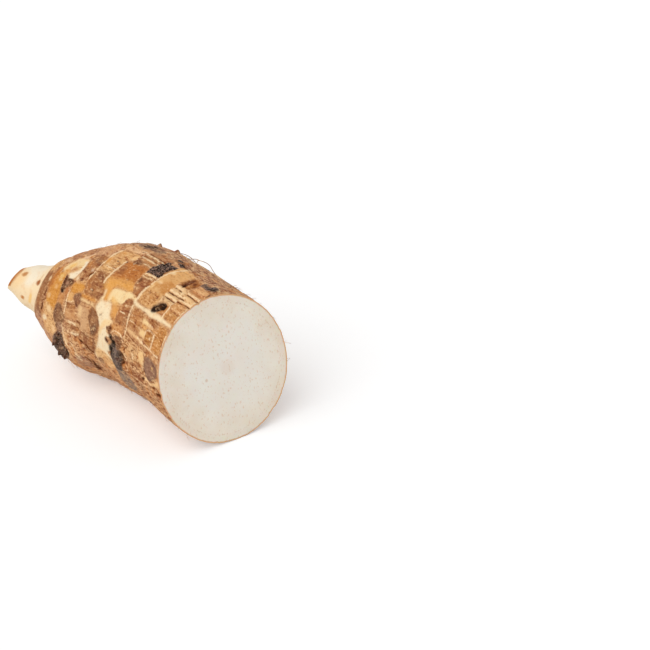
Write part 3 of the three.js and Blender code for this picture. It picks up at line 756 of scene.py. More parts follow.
# colour, along, around, half length, half width, strength, depth: small spots, pits and knobs
SPOTS = [
    ("rust", 5.4, 30, 1.8, 1.4, 0.85, 0.05),
    ("hazel", 17.2, 47.5, 1.3, 1.6, 1.0, 0.2),
    ("rust", 17.4, 37, 0.7, 3.0, 0.3, 0.1),
    ("rust", 10.6, 103, 1.3, 1.1, 0.95, 0.1),
    ("straw", 15.4, 92, 1.1, 3.2, 0.8, 0.0),
    ("cream", 25.3, 36.5, 0.8, 1.6, 0.7, -0.1),
    ("rust", 31.4, 93, 0.6, 1.2, 0.8, 0.1),
    ("rust", 28.5, 71.5, 0.9, 1.2, 0.7, 0.1),
    ("umber", 39.2, -2.5, 1.3, 1.8, 0.7, 0.1),
    ("rust", 41, 7.6, 1.0, 1.0, 0.6, 0.1),
    ("rust", 48, 10, 1.0, 1.2, 0.7, 0.1),
    ("rust", 45, 23.6, 1.3, 0.5, 0.7, 0.1),
    ("rust", 37, 21.4, 1.2, 0.5, 0.5, 0.0),
    ("umber", 51.7, 38.4, 1.3, 0.9, 0.85, 0.25),
    ("black", 39.4, 51.4, 1.1, 0.9, 0.9, 0.3),
    ("umber", 38.4, 38, 1.0, 1.4, 0.5, 0.1),
    ("umber", 75.7, 12, 0.8, 0.7, 1.0, 0.5),
    ("rust", 68, 7.4, 1.2, 0.6, 0.5, 0.0),
    ("rust", 74, 3.4, 1.6, 0.9, 0.4, 0.0),
    ("rust", 84.5, 94.6, 1.2, 1.0, 0.6, 0.0),
    ("umber", 85.6, 27, 1.4, 0.7, 0.4, 0.0),
    ("rust", 82.4, 48.4, 0.8, 0.5, 0.6, 0.0),
    ("umber", 77.8, 61.5, 1.3, 0.5, 0.6, 0.05),
    ("rust", 78.8, 79.5, 0.5, 2.2, 0.4, 0.05),
    ("umber", 107.4, 28, 1.2, 0.5, 0.5, 0.1),
    ("umber", 115.4, 29, 1.4, 0.5, 0.5, 0.1),
    ("rust", 116.4, 16.4, 1.2, 1.2, 0.5, 0.0),
    ("rust", 103.4, 6.8, 1.1, 0.5, 0.7, 0.0),
    ("cream", 125.6, 13, 1.2, 1.2, 0.7, -0.2),
    ("cream", 126.2, 57, 0.8, 0.7, 0.7, -0.2),
    # nubs along the top
    ("umber", 75.2, -30.6, 0.9, 1.2, 0.8, -1.8),
    ("umber", 85, -32.5, 1.1, 1.4, 0.8, -1.5),
    # the big scar on the flank
    ("black", 101.8, 84.4, 0.8, 1.2, 1.0, 0.6),
    ("black", 102.8, 88.6, 0.9, 1.1, 1.0, 0.6),
    ("ash", 97, 83, 2.0, 2.2, 0.7, -0.5),
    ("ash", 97, 90, 1.6, 2.0, 0.6, -0.4),
    ("umber", 99.4, 87.4, 1.6, 0.7, 0.7, 0.2),
    ("umber", 97.4, 88.6, 1.4, 0.6, 0.6, 0.2),
    # the sunken eye near the cut
    ("black", 118.6, 36.4, 1.0, 0.8, 1.0, 0.5),
    ("black", 123.9, 31.6, 0.8, 0.9, 1.0, 0.6),
    ("black", 121, 32.2, 0.5, 0.8, 0.9, 0.4),
    # the knob beside the charred plate
    ("black", 121.2, 6.6, 1.0, 0.9, 1.0, 0.6),
    ("black", 120.2, 4.6, 0.9, 1.0, 0.7, 0.2),
    ("umber", 123.6, -1.4, 0.9, 1.5, 0.8, 0.3),
    ("bark", 120.6, -0.6, 1.0, 1.0, 0.6, -0.4),
    ("umber", 125.4, 1, 1.0, 0.8, 0.5, 0.2),
    # burnt spots on the charred plate
    ("black", 97.6, 9, 1.3, 0.9, 0.9, 0.4),
    ("black", 99.2, -1.6, 1.6, 0.7, 0.9, 0.4),
    ("black", 96.8, 1.6, 1.2, 0.6, 0.9, 0.4),
    ("black", 101.6, 2.4, 1.2, 0.8, 0.8, 0.3),
    ("black", 102.4, 10, 1.0, 0.8, 0.8, 0.3),
    ("black", 97, -17.4, 1.1, 1.0, 0.9, 0.3),
    ("black", 101.6, -12, 1.4, 0.9, 0.9, 0.3),
    # the knobbly bud on the lower shoulder
    ("black", 42.8, 101.6, 1.5, 0.9, 1.0, 0.7),
    ("black", 46.8, 106.4, 1.2, 1.2, 0.95, 0.6),
    ("black", 49.4, 110.6, 1.0, 1.8, 0.95, 0.6),
    ("soot", 42, 97, 1.7, 2.0, 0.6, -1.2),
    ("soot", 40, 105, 1.8, 2.2, 0.7, -1.4),
    ("soot", 43.4, 112, 1.9, 2.4, 0.6, -1.5),
    ("soot", 45, 119, 1.9, 2.6, 0.7, -1.4),
    ("black", 41.6, 101, 0.8, 1.4, 0.9, 0.3),
    ("black", 42, 108.4, 0.8, 1.4, 0.9, 0.3),
    ("black", 44, 115.8, 0.9, 1.4, 0.9, 0.3),
    ("umber", 39.6, 106.5, 0.9, 1.2, 0.7, -1.7),
    ("umber", 43.4, 114.6, 1.0, 1.3, 0.7, -1.6),
    ("umber", 46.8, 118, 0.9, 1.1, 0.7, -1.4),
    # marks on the taupe patch near the cut
    ("umber", 134.6, 73, 0.9, 0.4, 0.8, 0.2),
    ("umber", 134, 76.6, 0.9, 0.4, 0.8, 0.2),
    ("straw", 133.8, 75, 0.9, 0.4, 0.6, -0.1),
    # hidden side buds
    ("black", 52, -62, 1.8, 2.0, 1.0, 0.9),
    ("ash", 55, -58, 2.4, 2.6, 0.7, -0.4),
    ("black", 84, -142, 1.8, 2.2, 1.0, 0.9),
    ("ash", 87, -138, 2.6, 2.4, 0.7, -0.4),
    ("black", 118, -98, 1.8, 2.4, 1.0, 0.9),
    ("bark", 115, -94, 2.4, 2.8, 0.8, -0.5),
]

# --- the skin ---

# the skin's own colour, from how it looks in soft light
HAZE = 0.03  # light that the surface itself throws back
HAZY = (0.02, 0.16)  # brightness of the colours that take none and all of the haze
COLOUR_KEPT = 0.3  # least share of a colour that taking off the haze leaves
BRIGHTEST = 50.0  # the bearing that faces the light
LIT_AWAY = [0, 30, 60, 90]  # degrees away from there
LIT_SHARE = [1.0, 0.98, 0.83, 0.78]  # of the light, at each of them
PALEST = 0.9

# lump sizes in millimetres, seed and layers of the skin's noises
LUMPS = {
    "tear": ((3.6, 1.1, 1.1), 29, 2),
    "drift_along": (8.0, 11, 4),
    "drift_across": (8.0, 23, 4),
    "wander": ((18, 12, 12), 211, 3),
    "slant": ((12, 16, 16), 217, 2),
    "swell": (2.6, 131, 1),
    "wear": (3.4, 137, 1),
    "body": ((16, 12, 12), 51, 3),
    "strands": ((9.0, 1.5, 1.5), 61, 3),
    "crumbs": (2.2, 71, 3),
    "clinker": (1.5, 81, 3),
    "stub": (5.0, 91, 3),
}
WOBBLE = 0.9  # how far an edge wanders
TEAR = 0.9  # how ragged a torn edge is
SHIFT = 0.4  # share of the wandering that an outline or a path takes
FAR = 1e9
TINY = 1e-9

# patches; a pair for peak is a middle and a width, and one for smooth is where it is 0 and 1
CORNER_CUT = 0.2
PATCH_MARGIN = 5  # how far outside its outline a patch can still show
STRAY_SIZE = (4.0, 2.6, 2.6)
STRAY_SEED = 300
STRAY_SHARE = 0.5
FULLY_RAGGED = 9  # millimetres; the edge of a smaller patch strays less
RIM = (-0.9, 0.6)
OUTLINE = (0.3, 0.4)
OUTLINE_BREAKS = (-0.5, 0.4)

# scales
BAND_ENDS = np.array([COLLAR_ALONG - 2] + LEAF_SCARS + [LENGTH + 9])
RING_DRIFT = 1.3
RING_WANDER = 1.2
FEWEST_SCALES = 6
MORE_SCALES = 6
COUNT_SEED, MIDDLE_SEED, KIND_SEED, SHADE_SEED = 31, 37, 41, 43
SIDE_SLANT = 6.0
SIDE_DRIFT = 1.4
SCALE_TEAR = 0.6
MIDDLE_STRAY = 0.6  # how far a scale's middle strays, as a share of its width
DARKEST_SCALE = 0.88
SCALE_SHADES = 0.24
SCALE_EDGE = (0.1, 1.1)
SCALE_LINE = (0.4, 0.4)  # strength of the line round a scale, and how much that wanders
SCALE_LINE_WIDTH = 0.5
# painted shade in the cracks along the rings between scales
SCALE_CRACK_SHADE = 0.7
SCALE_CRACK_PLACE = (0.9, 0.4)
SCALE_CRACK_BREAKS = (-0.2, 0.3)

# islands
ISLAND_SEED = 401
ISLAND_TEAR = 0.05
ISLAND_FADE = 0.05
ISLAND_LINE = 0.5
ISLAND_LINE_WIDTH = 0.018
ISLAND_LINE_BREAKS = (-0.3, 0.2)

# lines, cracks, grooves and spots
PATH_TEAR = 0.5
PATH_SWELL = 0.55
LINE_WEAR = (-0.75, -0.25)
LEAST_WORN = 0.25  # strength that a line keeps where it is worn
# painted shade in each groove, and a painted highlight along one lip of it
GROOVE_SHADE, GROOVE_SHADE_WIDTH = 0.95, 0.5
GROOVE_LIP_HIGHLIGHT, GROOVE_LIP_WIDTH = 0.9, 0.55
GROOVE_LIP_AWAY = 1.6  # degrees
GROOVE_DEPTH, GROOVE_WIDTH = 0.60, 0.8
SPOT_TEAR = 0.6
SPOT_EDGE = (1.25, 0.65)
SPOT_SLOPE = (1.5, 0.2)
BURNT = {"black": 0.2, "ash": 0.5}  # how charred the burnt spots are

# the collar, and the end of the peeled stub
COLLAR_LENGTH = (7.6, 6.6)
PALE_LENGTH = (2.2, 1.2)
PALE_SHARE = 0.35
PALE_BREAKS = (-0.5, 0.3)
# painted shade in the crack along the collar's step
COLLAR_CRACK_SHADE = 0.45
COLLAR_CRACK_PLACE = (0.2, 0.4)
COLLAR_CRACK_BREAKS = (-0.3, 0.4)
PEEL_EDGE = (0.4, -0.4)
PEEL_PAST = 1.1  # how far the peeled stub reaches past COLLAR_ALONG
PEEL_TILT = 0.8  # and how much further on the side at PEEL_BEARING
PEEL_BEARING = 50
PEEL_DRIFT = 0.5

# relief, in millimetres
KIND_HEIGHTS = (15, 20)  # along, where the kinds' own heights begin and are full
SKIN_TEXTURE = (16, 20)
RING_SHIFT = 0.8
BODY_LUMPS = 0.25
STRAND_HEIGHT = 0.16
CRUMB_HEIGHT = 0.12
CLINKER_HEIGHT = 0.55
STUB_LUMPS = 0.05
LINE_HEIGHT = 0.10
CRACK_DEPTH = 0.45

TEXTURES = ("fibre", "mottle", "gloss", "char", "height")  # what a kind of skin sets
MARKS = ("shaded_crack", "line", "pits")
EVERYWHERE = slice(None)


def skin_colour(colour, around):
    """The skin's own colour from how it looks in soft light, which a flank gets less of."""
    away = np.abs(turn(np.asarray(around, float), BRIGHTEST))
    share = np.interp(away, LIT_AWAY, LIT_SHARE)
    seen = linear(*colour)
    haze = HAZE * smooth(*HAZY, seen.max())
    own = np.maximum(seen - haze, COLOUR_KEPT * seen) / np.asarray(share)[..., None]
    return own * np.minimum(1, PALEST / own.max(axis=-1, keepdims=True))


def rounded(corners):
    """An outline with its corners cut."""
    points = np.array(corners, dtype=float)
    following = np.roll(points, -1, axis=0)
    near, far = 1 - CORNER_CUT, CORNER_CUT
    return np.stack([near * points + far * following, far * points + near * following], 1).reshape(-1, 2)


class Skin:
    """The colour and the low relief of the skin at every point of its net."""

    def __init__(self, along, around, radius):
        self.along, self.around = along, around
        angle = np.radians(around)
        self.grain = np.stack([along, radius * np.cos(angle), radius * np.sin(angle)], 1)
        self.per_degree = np.radians(radius)  # millimetres of skin for one degree around
        # wandering coordinates, so that no edge is straight
        self.tear = TEAR * self.lumps("tear")
        self.drift_along = WOBBLE * self.lumps("drift_along")
        self.drift_across = WOBBLE * self.lumps("drift_across")
        self.tint = np.zeros((len(along), 3))
        for name in TEXTURES + MARKS:
            setattr(self, name, np.zeros(len(along)))

    def lumps(self, name):
        """One of the named noises over the whole skin."""
        return layered(self.grain, *LUMPS[name])

    def place(self, along, around):
        """Millimetres along and across from a place on the skin, with some wandering added."""
        u = self.along - along + SHIFT * self.drift_along
        v = turn(self.around, around) * self.per_degree + SHIFT * self.drift_across
        return u, v

    def blend(self, near, mask, kind, colour):
        """Lays a kind of skin on the points near it, where the mask is 1."""
        wide = mask[:, None]
        self.tint[near] = self.tint[near] * (1 - wide) + colour * wide
        for name in TEXTURES:
            field = getattr(self, name)
            field[near] = field[near] * (1 - mask) + getattr(kind, name) * mask
        self.line[near] *= 1 - mask
        self.shaded_crack[near] *= 1 - mask

    def outside(self, near, u, v, corners, bearing):
        """Signed distance in millimetres from an outline, less than 0 inside it."""
        gap = np.full(len(u), FAR)
        inside = np.zeros(len(u), dtype=bool)
        scale = self.per_degree[near]
        points = rounded(corners)
        for (a_u, a_v), (b_u, b_v) in zip(points, np.roll(points, -1, axis=0)):
            start_v, end_v = (a_v - bearing) * scale, (b_v - bearing) * scale
            run_u, run_v = b_u - a_u, end_v - start_v
            off_u, off_v = u - a_u, v - start_v
            share = np.clip((off_u * run_u + off_v * run_v) / (run_u**2 + run_v**2 + TINY), 0, 1)
            gap = np.minimum(gap, np.hypot(off_u - share * run_u, off_v - share * run_v))
            crosses = (start_v > v) != (end_v > v)
            at = a_u + (v - start_v) * run_u / np.where(run_v == 0, TINY, run_v)
            inside ^= crosses & (u < at)
        return np.where(inside, -gap, gap)

    def lay_patch(self, kind_name, colour, corners, number):
        """A patch of one kind with a torn edge and, on some kinds, an outline."""
        kind = KINDS[kind_name]
        first, low = np.min(corners, axis=0)
        last, high = np.max(corners, axis=0)
        bearing = (low + high) / 2
        far = np.abs(turn(self.around, bearing)) - (high - low) / 2
        beside = (self.along > first - PATCH_MARGIN) & (self.along < last + PATCH_MARGIN)
        near = np.flatnonzero(beside & (far * self.per_degree < PATCH_MARGIN))
        u, v = self.place(0, bearing)
        distance = self.outside(near, u[near], v[near], corners, bearing)
        stray = noise(self.grain[near], STRAY_SIZE, STRAY_SEED + number)
        size = min(last - first, (high - low) * self.per_degree[near].mean())
        ragged = kind.ragged * min(1, size / FULLY_RAGGED)
        distance += ragged * (STRAY_SHARE * stray + self.tear[near])
        own = skin_colour(colour, self.around[near])
        self.blend(near, smooth(kind.soft, -kind.soft, distance), kind, own)
        self.tint[near] *= (1 - kind.rim * peak(distance, *RIM))[:, None]
        self.line[near] += kind.outline * smooth(*OUTLINE_BREAKS, stray) * peak(distance, *OUTLINE)

    def find_scales(self, wander):
        """Each point's band and scale, and its distance to the ring and the edge nearest to it."""
        along = self.along + RING_DRIFT * self.drift_along + RING_WANDER * wander + SCALE_TEAR * self.tear
        band = np.clip(np.searchsorted(BAND_ENDS, along, side="right") - 1, 0, len(BAND_ENDS) - 2)
        to_ring = np.minimum(along - BAND_ENDS[band], BAND_ENDS[band + 1] - along)
        count = FEWEST_SCALES + np.floor(MORE_SCALES * hashed(band, 0, 0, COUNT_SEED)).astype(int)
        width = 360 / count
        slant = SIDE_SLANT * self.lumps("slant") + SIDE_DRIFT * self.drift_across + SCALE_TEAR * self.tear
        place = (self.around % 360 + slant / self.per_degree) / width
        nearest, second = np.full((2, len(place)), FAR)
        scale = np.zeros(len(place), dtype=int)
        for step in (-1, 0, 1):
            number = np.floor(place).astype(int) + step
            stray = hashed(number % count, band, 0, MIDDLE_SEED) - 0.5
            gap = np.abs(place - (number + 0.5 + MIDDLE_STRAY * stray))
            closer = gap < nearest
            second = np.where(closer, nearest, np.minimum(second, gap))
            scale = np.where(closer, number % count, scale)
            nearest = np.where(closer, gap, nearest)
        to_side = (second - nearest) / 2 * width * self.per_degree
        return band, scale, to_ring, np.minimum(to_side, to_ring)

    def lay_scales(self):
        """Sheath scales all round: each band between leaf scars is split along the grain."""
        wander = self.lumps("wander")
        band, scale, to_ring, to_edge = self.find_scales(wander)
        mask = smooth(*SCALE_EDGE, to_edge)
        choice = np.floor(len(SCALES) * hashed(scale, band, 0, KIND_SEED)).astype(int)
        shade = DARKEST_SCALE + SCALE_SHADES * hashed(scale, band, 1, SHADE_SEED)
        ground = skin_colour(GROUND_COLOUR, self.around)
        self.blend(EVERYWHERE, np.ones(len(mask)), KINDS["torn"], ground)
        for number, (name, colour) in enumerate(SCALES):
            own = skin_colour(colour, self.around) * shade[:, None]
            self.blend(EVERYWHERE, mask * (choice == number), KINDS[name], own)
        strength = SCALE_LINE[0] + SCALE_LINE[1] * wander
        self.line += strength * peak(to_edge, 0, SCALE_LINE_WIDTH)
        # painted shade in the cracks along the rings
        breaks = smooth(*SCALE_CRACK_BREAKS, self.drift_across)
        self.shaded_crack += SCALE_CRACK_SHADE * peak(to_ring, *SCALE_CRACK_PLACE) * breaks

    def lay_islands(self):
        """Torn, stained and bare islands, which run with the grain and stop at no leaf scar."""
        breaks = smooth(*ISLAND_LINE_BREAKS, self.drift_across)
        for number, (name, colour, (length, width), level) in enumerate(ISLANDS):
            value = layered(self.grain, (length, width, width), ISLAND_SEED + number, 3)
            value = value + ISLAND_TEAR * self.tear
            mask = smooth(level, level + ISLAND_FADE, value)
            self.blend(EVERYWHERE, mask, KINDS[name], skin_colour(colour, self.around))
            self.line += ISLAND_LINE * peak(value, level, ISLAND_LINE_WIDTH) * breaks

    def near_path(self, points):
        """Distance in millimetres from a path on the skin."""
        best = np.full(len(self.along), FAR)
        for (along_a, around_a), (along_b, around_b) in zip(points[:-1], points[1:]):
            u, v = self.place(along_a, around_a)
            v = v + PATH_TEAR * self.tear
            run_u = along_b - along_a
            run_v = (around_b - around_a) * self.per_degree
            t = np.clip((u * run_u + v * run_v) / (run_u**2 + run_v**2), 0, 1)
            best = np.minimum(best, np.hypot(u - t * run_u, v - t * run_v))
        return best

    def lay_lines(self):
        """Pale edges and dark cracks coloured with painted shade, none of which keeps its width."""
        swell = 1 + PATH_SWELL * self.lumps("swell")
        worn = LEAST_WORN + (1 - LEAST_WORN) * smooth(*LINE_WEAR, self.lumps("wear"))
        for half_width, strength, points in LINES:
            mark = peak(self.near_path(points), 0, half_width * swell)
            self.line = np.maximum(self.line, strength * mark * worn)
        # the cracks are coloured with painted shade
        for half_width, strength, points in SHADED_CRACKS:
            mark = peak(self.near_path(points), 0, half_width * swell)
            self.shaded_crack = np.maximum(self.shaded_crack, strength * mark)

    def lay_grooves(self):
        """The grooves of the ridged end, each a hollow darkened with painted shade beside a lip with a
        painted highlight.
        """
        for first, from_around, last, to_around, share in GROOVES:
            away = self.near_path([(first, from_around), (last, to_around)])
            # painted shade in the groove
            dark = GROOVE_SHADE * share * peak(away, 0, GROOVE_SHADE_WIDTH)
            self.shaded_crack = np.maximum(self.shaded_crack, dark)
            # a painted highlight along the groove's lip, carried by the pale line
            lip = self.near_path([
                (first, from_around - GROOVE_LIP_AWAY), (last, to_around - GROOVE_LIP_AWAY)])
            pale = GROOVE_LIP_HIGHLIGHT * share * peak(lip, 0, GROOVE_LIP_WIDTH)
            self.line = np.maximum(self.line, pale)
            self.pits += GROOVE_DEPTH * share * peak(away, 0, GROOVE_WIDTH)

    def lay_spots(self):
        """Bud pits, knobs and stains."""
        for name, along, around, half_length, half_width, strength, depth in SPOTS:
            u, v = self.place(along, around)
            v = v + SPOT_TEAR * self.tear
            reach = np.hypot(u / half_length, v / half_width)
            mask = strength * smooth(*SPOT_EDGE, reach)
            own = linear(*SPOT_COLOURS[name])
            if name in BURNT:
                self.char = np.maximum(self.char, mask * BURNT[name])
                self.line *= 1 - mask
                self.mottle *= 1 - mask
                self.gloss *= 1 - mask
            else:
                own = skin_colour(SPOT_COLOURS[name], self.around)
            wide = mask[:, None]
            self.tint = self.tint * (1 - wide) + own * wide
            self.pits += depth * smooth(*SPOT_SLOPE, reach)

    def past_collar(self):
        """How far each point lies past the wavy end of the peeled stub."""
        tilt = PEEL_TILT * np.cos(np.radians(self.around - PEEL_BEARING))
        return self.along - (COLLAR_ALONG + PEEL_PAST + tilt - PEEL_DRIFT * self.drift_along)

    def lay_collar(self):
        """The papery band behind the peeled stub, and the stub itself."""
        past = self.past_collar()
        band = smooth(*COLLAR_LENGTH, past + self.drift_across)
        self.blend(EVERYWHERE, band, KINDS["band"], skin_colour(COLLAR_COLOUR, self.around))
        pale = smooth(*PALE_LENGTH, past) * smooth(*PALE_BREAKS, self.drift_across)
        self.tint += (linear(*COLLAR_PALE) - self.tint) * PALE_SHARE * pale[:, None]
        # painted shade in the crack along the step
        breaks = smooth(*COLLAR_CRACK_BREAKS, self.drift_across)
        self.shaded_crack += COLLAR_CRACK_SHADE * peak(past, *COLLAR_CRACK_PLACE) * breaks
        peeled = smooth(*PEEL_EDGE, past)
        self.blend(EVERYWHERE, peeled, KINDS["peel"], skin_colour(PEEL_COLOUR, self.around))

    def relief(self):
        """How far the skin stands from the round section, in millimetres."""
        total = self.height * smooth(*KIND_HEIGHTS, self.along)
        for patch in SWELLINGS:
            total += patch[4] * bell(self.along, self.around, patch)
        for bud in BUDS:
            total += bud[4] * bell(self.along, self.around, bud)
            total -= (bud[4] + bud[5]) * bell(self.along, self.around, bud, PIT_SHARE)
        ring_along = self.along + RING_SHIFT * self.drift_along
        for scar in LEAF_SCARS:
            total -= SCAR_DEPTH * peak(ring_along, scar, SCAR_HALF_WIDTH)
        past = self.past_collar()
        step = COLLAR_STEP / (1 + np.exp(-past / COLLAR_WIDTH))
        total += step * np.exp(-np.maximum(past, 0) / COLLAR_FADE)
        skin_only = smooth(*SKIN_TEXTURE, self.along)
        total += BODY_LUMPS * self.lumps("body") * skin_only
        total += STRAND_HEIGHT * self.fibre * self.lumps("strands") * skin_only
        total += CRUMB_HEIGHT * self.mottle * self.lumps("crumbs") * skin_only
        total += CLINKER_HEIGHT * self.char * self.lumps("clinker")
        total += LINE_HEIGHT * np.clip(self.line, 0, 1) - CRACK_DEPTH * np.clip(self.shaded_crack, 0, 1)
        total += STUB_LUMPS * self.lumps("stub") * (1 - skin_only)
        return total - self.pits


# --- the body's mesh ---

# inset of each ring of an end face, and whether it has half the points of the one outside it
CUT_RINGS = [(0.25, 0), (0.55, 0), (0.9, 0), (1.4, 0), (2.4, 0), (3.3, 0), (3.8, 0), (4.4, 0),
             (6.0, 1), (9.0, 1), (13.0, 0), (18.0, 1), (24.0, 0), (30.0, 0)]
STUB_RINGS = [(0.2, 1), (0.5, 1), (1.0, 1), (2.2, 0), (4.2, 0)]

MOST_ROUGH = 1.5  # the most that a texture can show

# where the skin frays into fibres and shreds; each pair is where it doesn't and where it does
FRAY_ALONG = (30, 60)
FRAY_FIBRE = (0.45, 0.7)
FRAY_AWAY = (40, 120)  # degrees away from CLEAN_BEARING
FRAY_HEIGHT = (3.0, 6.0)  # millimetres above the floor
CLEAN_BEARING = 45
LEAST_FRAY = 0.15  # on skin with little fibre
LEAST_FRAY_NEAR = 0.25  # at the clean bearing


def linked(name, data):
    """A new object in the scene that holds the data."""
    made = bpy.data.objects.new(name, data)
    bpy.context.collection.objects.link(made)
    return made


def skin_rows():
    """Places along the axis of the skin's rings: coarse on the smooth stub, fine on the skin."""
    neck = np.linspace(0, NECK_END, round(NECK_END / NECK_ROW) + 1)
    rest = np.linspace(NECK_END, LENGTH, round((LENGTH - NECK_END) / SKIN_ROW) + 1)
    return np.concatenate([neck, rest[1:]])


def ring_faces(outer, inner):
    """Faces between a ring of points and the next one, which has as many or half as many."""
    faces = []
    count = len(inner)
    for j in range(count):
        p, q = inner[j], inner[(j + 1) % count]
        if len(outer) == count:
            faces.append((outer[j], outer[(j + 1) % count], q, p))
        else:
            a, b, c = outer[2 * j], outer[2 * j + 1], outer[(2 * j + 2) % len(outer)]
            faces += [(a, b, p), (b, q, p), (b, c, q)]
    return faces


def end_face(points, ring, centre, rings):
    """Closes an end with rings of points that shrink towards its centre.

    Returns the new points, how far inside the edge each lies, and the faces.
    """
    current = ring
    edge = points[ring]
    extra, inset, faces = [], [], []
    next_index = len(points)
    for depth, halve in rings:
        count = len(current) // 2 if halve else len(current)
        source = edge[:: len(edge) // count]
        share = 1 - depth / np.linalg.norm(source - centre, axis=1, keepdims=True)
        extra.append(centre + (source - centre) * share)
        inset.append(np.full(count, depth))
        inner = list(range(next_index, next_index + count))
        next_index += count
        faces += ring_faces(current, inner)
        current = inner
    extra.append(centre[None])
    inset.append([np.linalg.norm(edge - centre, axis=1).mean()])
    for j in range(len(current)):
        faces.append((current[j], current[(j + 1) % len(current)], next_index))
    return np.concatenate(extra), np.concatenate(inset), faces


def set_field(mesh, name, kind, values):
    """Stores one value for each point of the mesh."""
    slot = {"FLOAT": "value", "FLOAT_VECTOR": "vector", "FLOAT_COLOR": "color"}[kind]
    data = mesh.attributes.new(name, kind, "POINT").data
    data.foreach_set(slot, np.ravel(values).astype(np.float32))


def surface_point(along, around, lift):
    """A place on the round body, lifted off it by some millimetres."""
    centre, _, flank, up, radius = sections(np.array([float(along)]))
    angle = math.radians(around)
    reach = radius[0] + lift
    for patch in SWELLINGS:
        reach += patch[4] * bell(along, around, patch)
    return centre[0] + reach * (math.cos(angle) * up[0] + math.sin(angle) * flank[0])


def fray(skin, height):
    """How much of each place of the skin frays into fibres and shreds."""
    shaggy = LEAST_FRAY + (1 - LEAST_FRAY) * smooth(*FRAY_FIBRE, skin.fibre)
    away = np.abs(turn(skin.around, CLEAN_BEARING))
    hidden = LEAST_FRAY_NEAR + (1 - LEAST_FRAY_NEAR) * smooth(*FRAY_AWAY, away)
    return smooth(*FRAY_ALONG, skin.along) * shaggy * hidden * smooth(*FRAY_HEIGHT, height)


def set_skin_fields(mesh, skin, axis, height):
    """What the materials and the scattered pieces read from the skin; 0 on the end faces."""
    extra = len(mesh.vertices) - len(skin.along)

    def padded(values, fill=0.0):
        return np.concatenate([values, np.full((extra,) + values.shape[1:], fill)])

    tint = np.column_stack([skin.tint, np.ones(len(skin.along))])
    set_field(mesh, "tint", "FLOAT_COLOR", padded(tint, 1.0))
    set_field(mesh, "grain", "FLOAT_VECTOR", padded(skin.grain))
    set_field(mesh, "flow", "FLOAT_VECTOR", padded(axis))
    for name in ("fibre", "mottle", "gloss", "char"):
        set_field(mesh, name, "FLOAT", padded(np.clip(getattr(skin, name), 0, MOST_ROUGH)))
    for name in ("shaded_crack", "line"):
        set_field(mesh, name, "FLOAT", padded(np.clip(getattr(skin, name), 0, 1)))
    set_field(mesh, "fray", "FLOAT", padded(fray(skin, height)))


def make_body():
    """The tuber as one closed mesh: skin, cut face and stub end."""
    rows = skin_rows()
    bearings = np.arange(COLUMNS) * 360 / COLUMNS
    along, around = (grid.ravel() for grid in np.meshgrid(rows, bearings, indexing="ij"))
    centre, axis, flank, up, radius = sections(along)
    skin = Skin(along, around, radius)
    skin.lay_scales()
    skin.lay_islands()
    skin.lay_collar()
    for number, patch in enumerate(PATCHES):
        skin.lay_patch(*patch, number)
    skin.lay_lines()
    skin.lay_grooves()
    skin.lay_spots()
    reach = (radius + skin.relief())[:, None]
    angle = np.radians(around)[:, None]
    points = centre + reach * (np.cos(angle) * up + np.sin(angle) * flank)
    floor = FLOOR_Z / MM
    points += up * (np.maximum(floor - points[:, 2], 0) / up[:, 2])[:, None]

    rings = np.arange(len(points)).reshape(-1, COLUMNS).tolist()
    skin_faces = [face for pair in zip(rings[:-1], rings[1:]) for face in ring_faces(*pair)]
    cut, cut_inset, cut_faces = end_face(points, rings[-1], centre[-1], CUT_RINGS)
    all_points = np.concatenate([points, cut])
    stub, stub_inset, stub_faces = end_face(all_points, rings[0], centre[0], STUB_RINGS)
    all_points = np.concatenate([all_points, stub])
    faces = skin_faces + cut_faces + [face[::-1] for face in stub_faces]

    mesh = bpy.data.meshes.new("tuber_body")
    mesh.from_pydata((all_points * MM).tolist(), [], faces)
    set_skin_fields(mesh, skin, axis, points[:, 2] - floor)
    inset = np.concatenate([np.zeros(len(points)), cut_inset, stub_inset])
    set_field(mesh, "inset", "FLOAT", inset)

    mesh.materials.append(skin_material())
    mesh.materials.append(flesh_material())
    for polygon in mesh.polygons[len(skin_faces):]:
        polygon.material_index = 1
    mesh.polygons.foreach_set("use_smooth", [True] * len(mesh.polygons))
    rims = set(rings[0]), set(rings[-1])
    for edge in mesh.edges:
        edge.use_edge_sharp = any(rim.issuperset(edge.vertices) for rim in rims)
    mesh.update()
    return linked("tuber_body", mesh)


# --- materials ---


class Nodes:
    """Adds nodes to a tree."""

    def __init__(self, tree):
        self.tree = tree

    def add(self, kind, links=(), **settings):
        """A node with its settings, and its inputs linked or filled, by name or by number."""
        node = self.tree.nodes.new(kind)
        for name, value in settings.items():
            setattr(node, name, value)
        for socket, value in dict(links).items():
            self.fill(node.inputs[socket], value)
        return node

    def fill(self, socket, value):
        """Links a socket to another one or to a node's first output, or gives it a value."""
        if isinstance(value, bpy.types.Node):
            value = value.outputs[0]
        if isinstance(value, bpy.types.NodeSocket):
            self.tree.links.new(value, socket)
        else:
            socket.default_value = value

    def maths(self, operation, first, second=0.0):
        return self.add("ShaderNodeMath", {0: first, 1: second}, operation=operation)


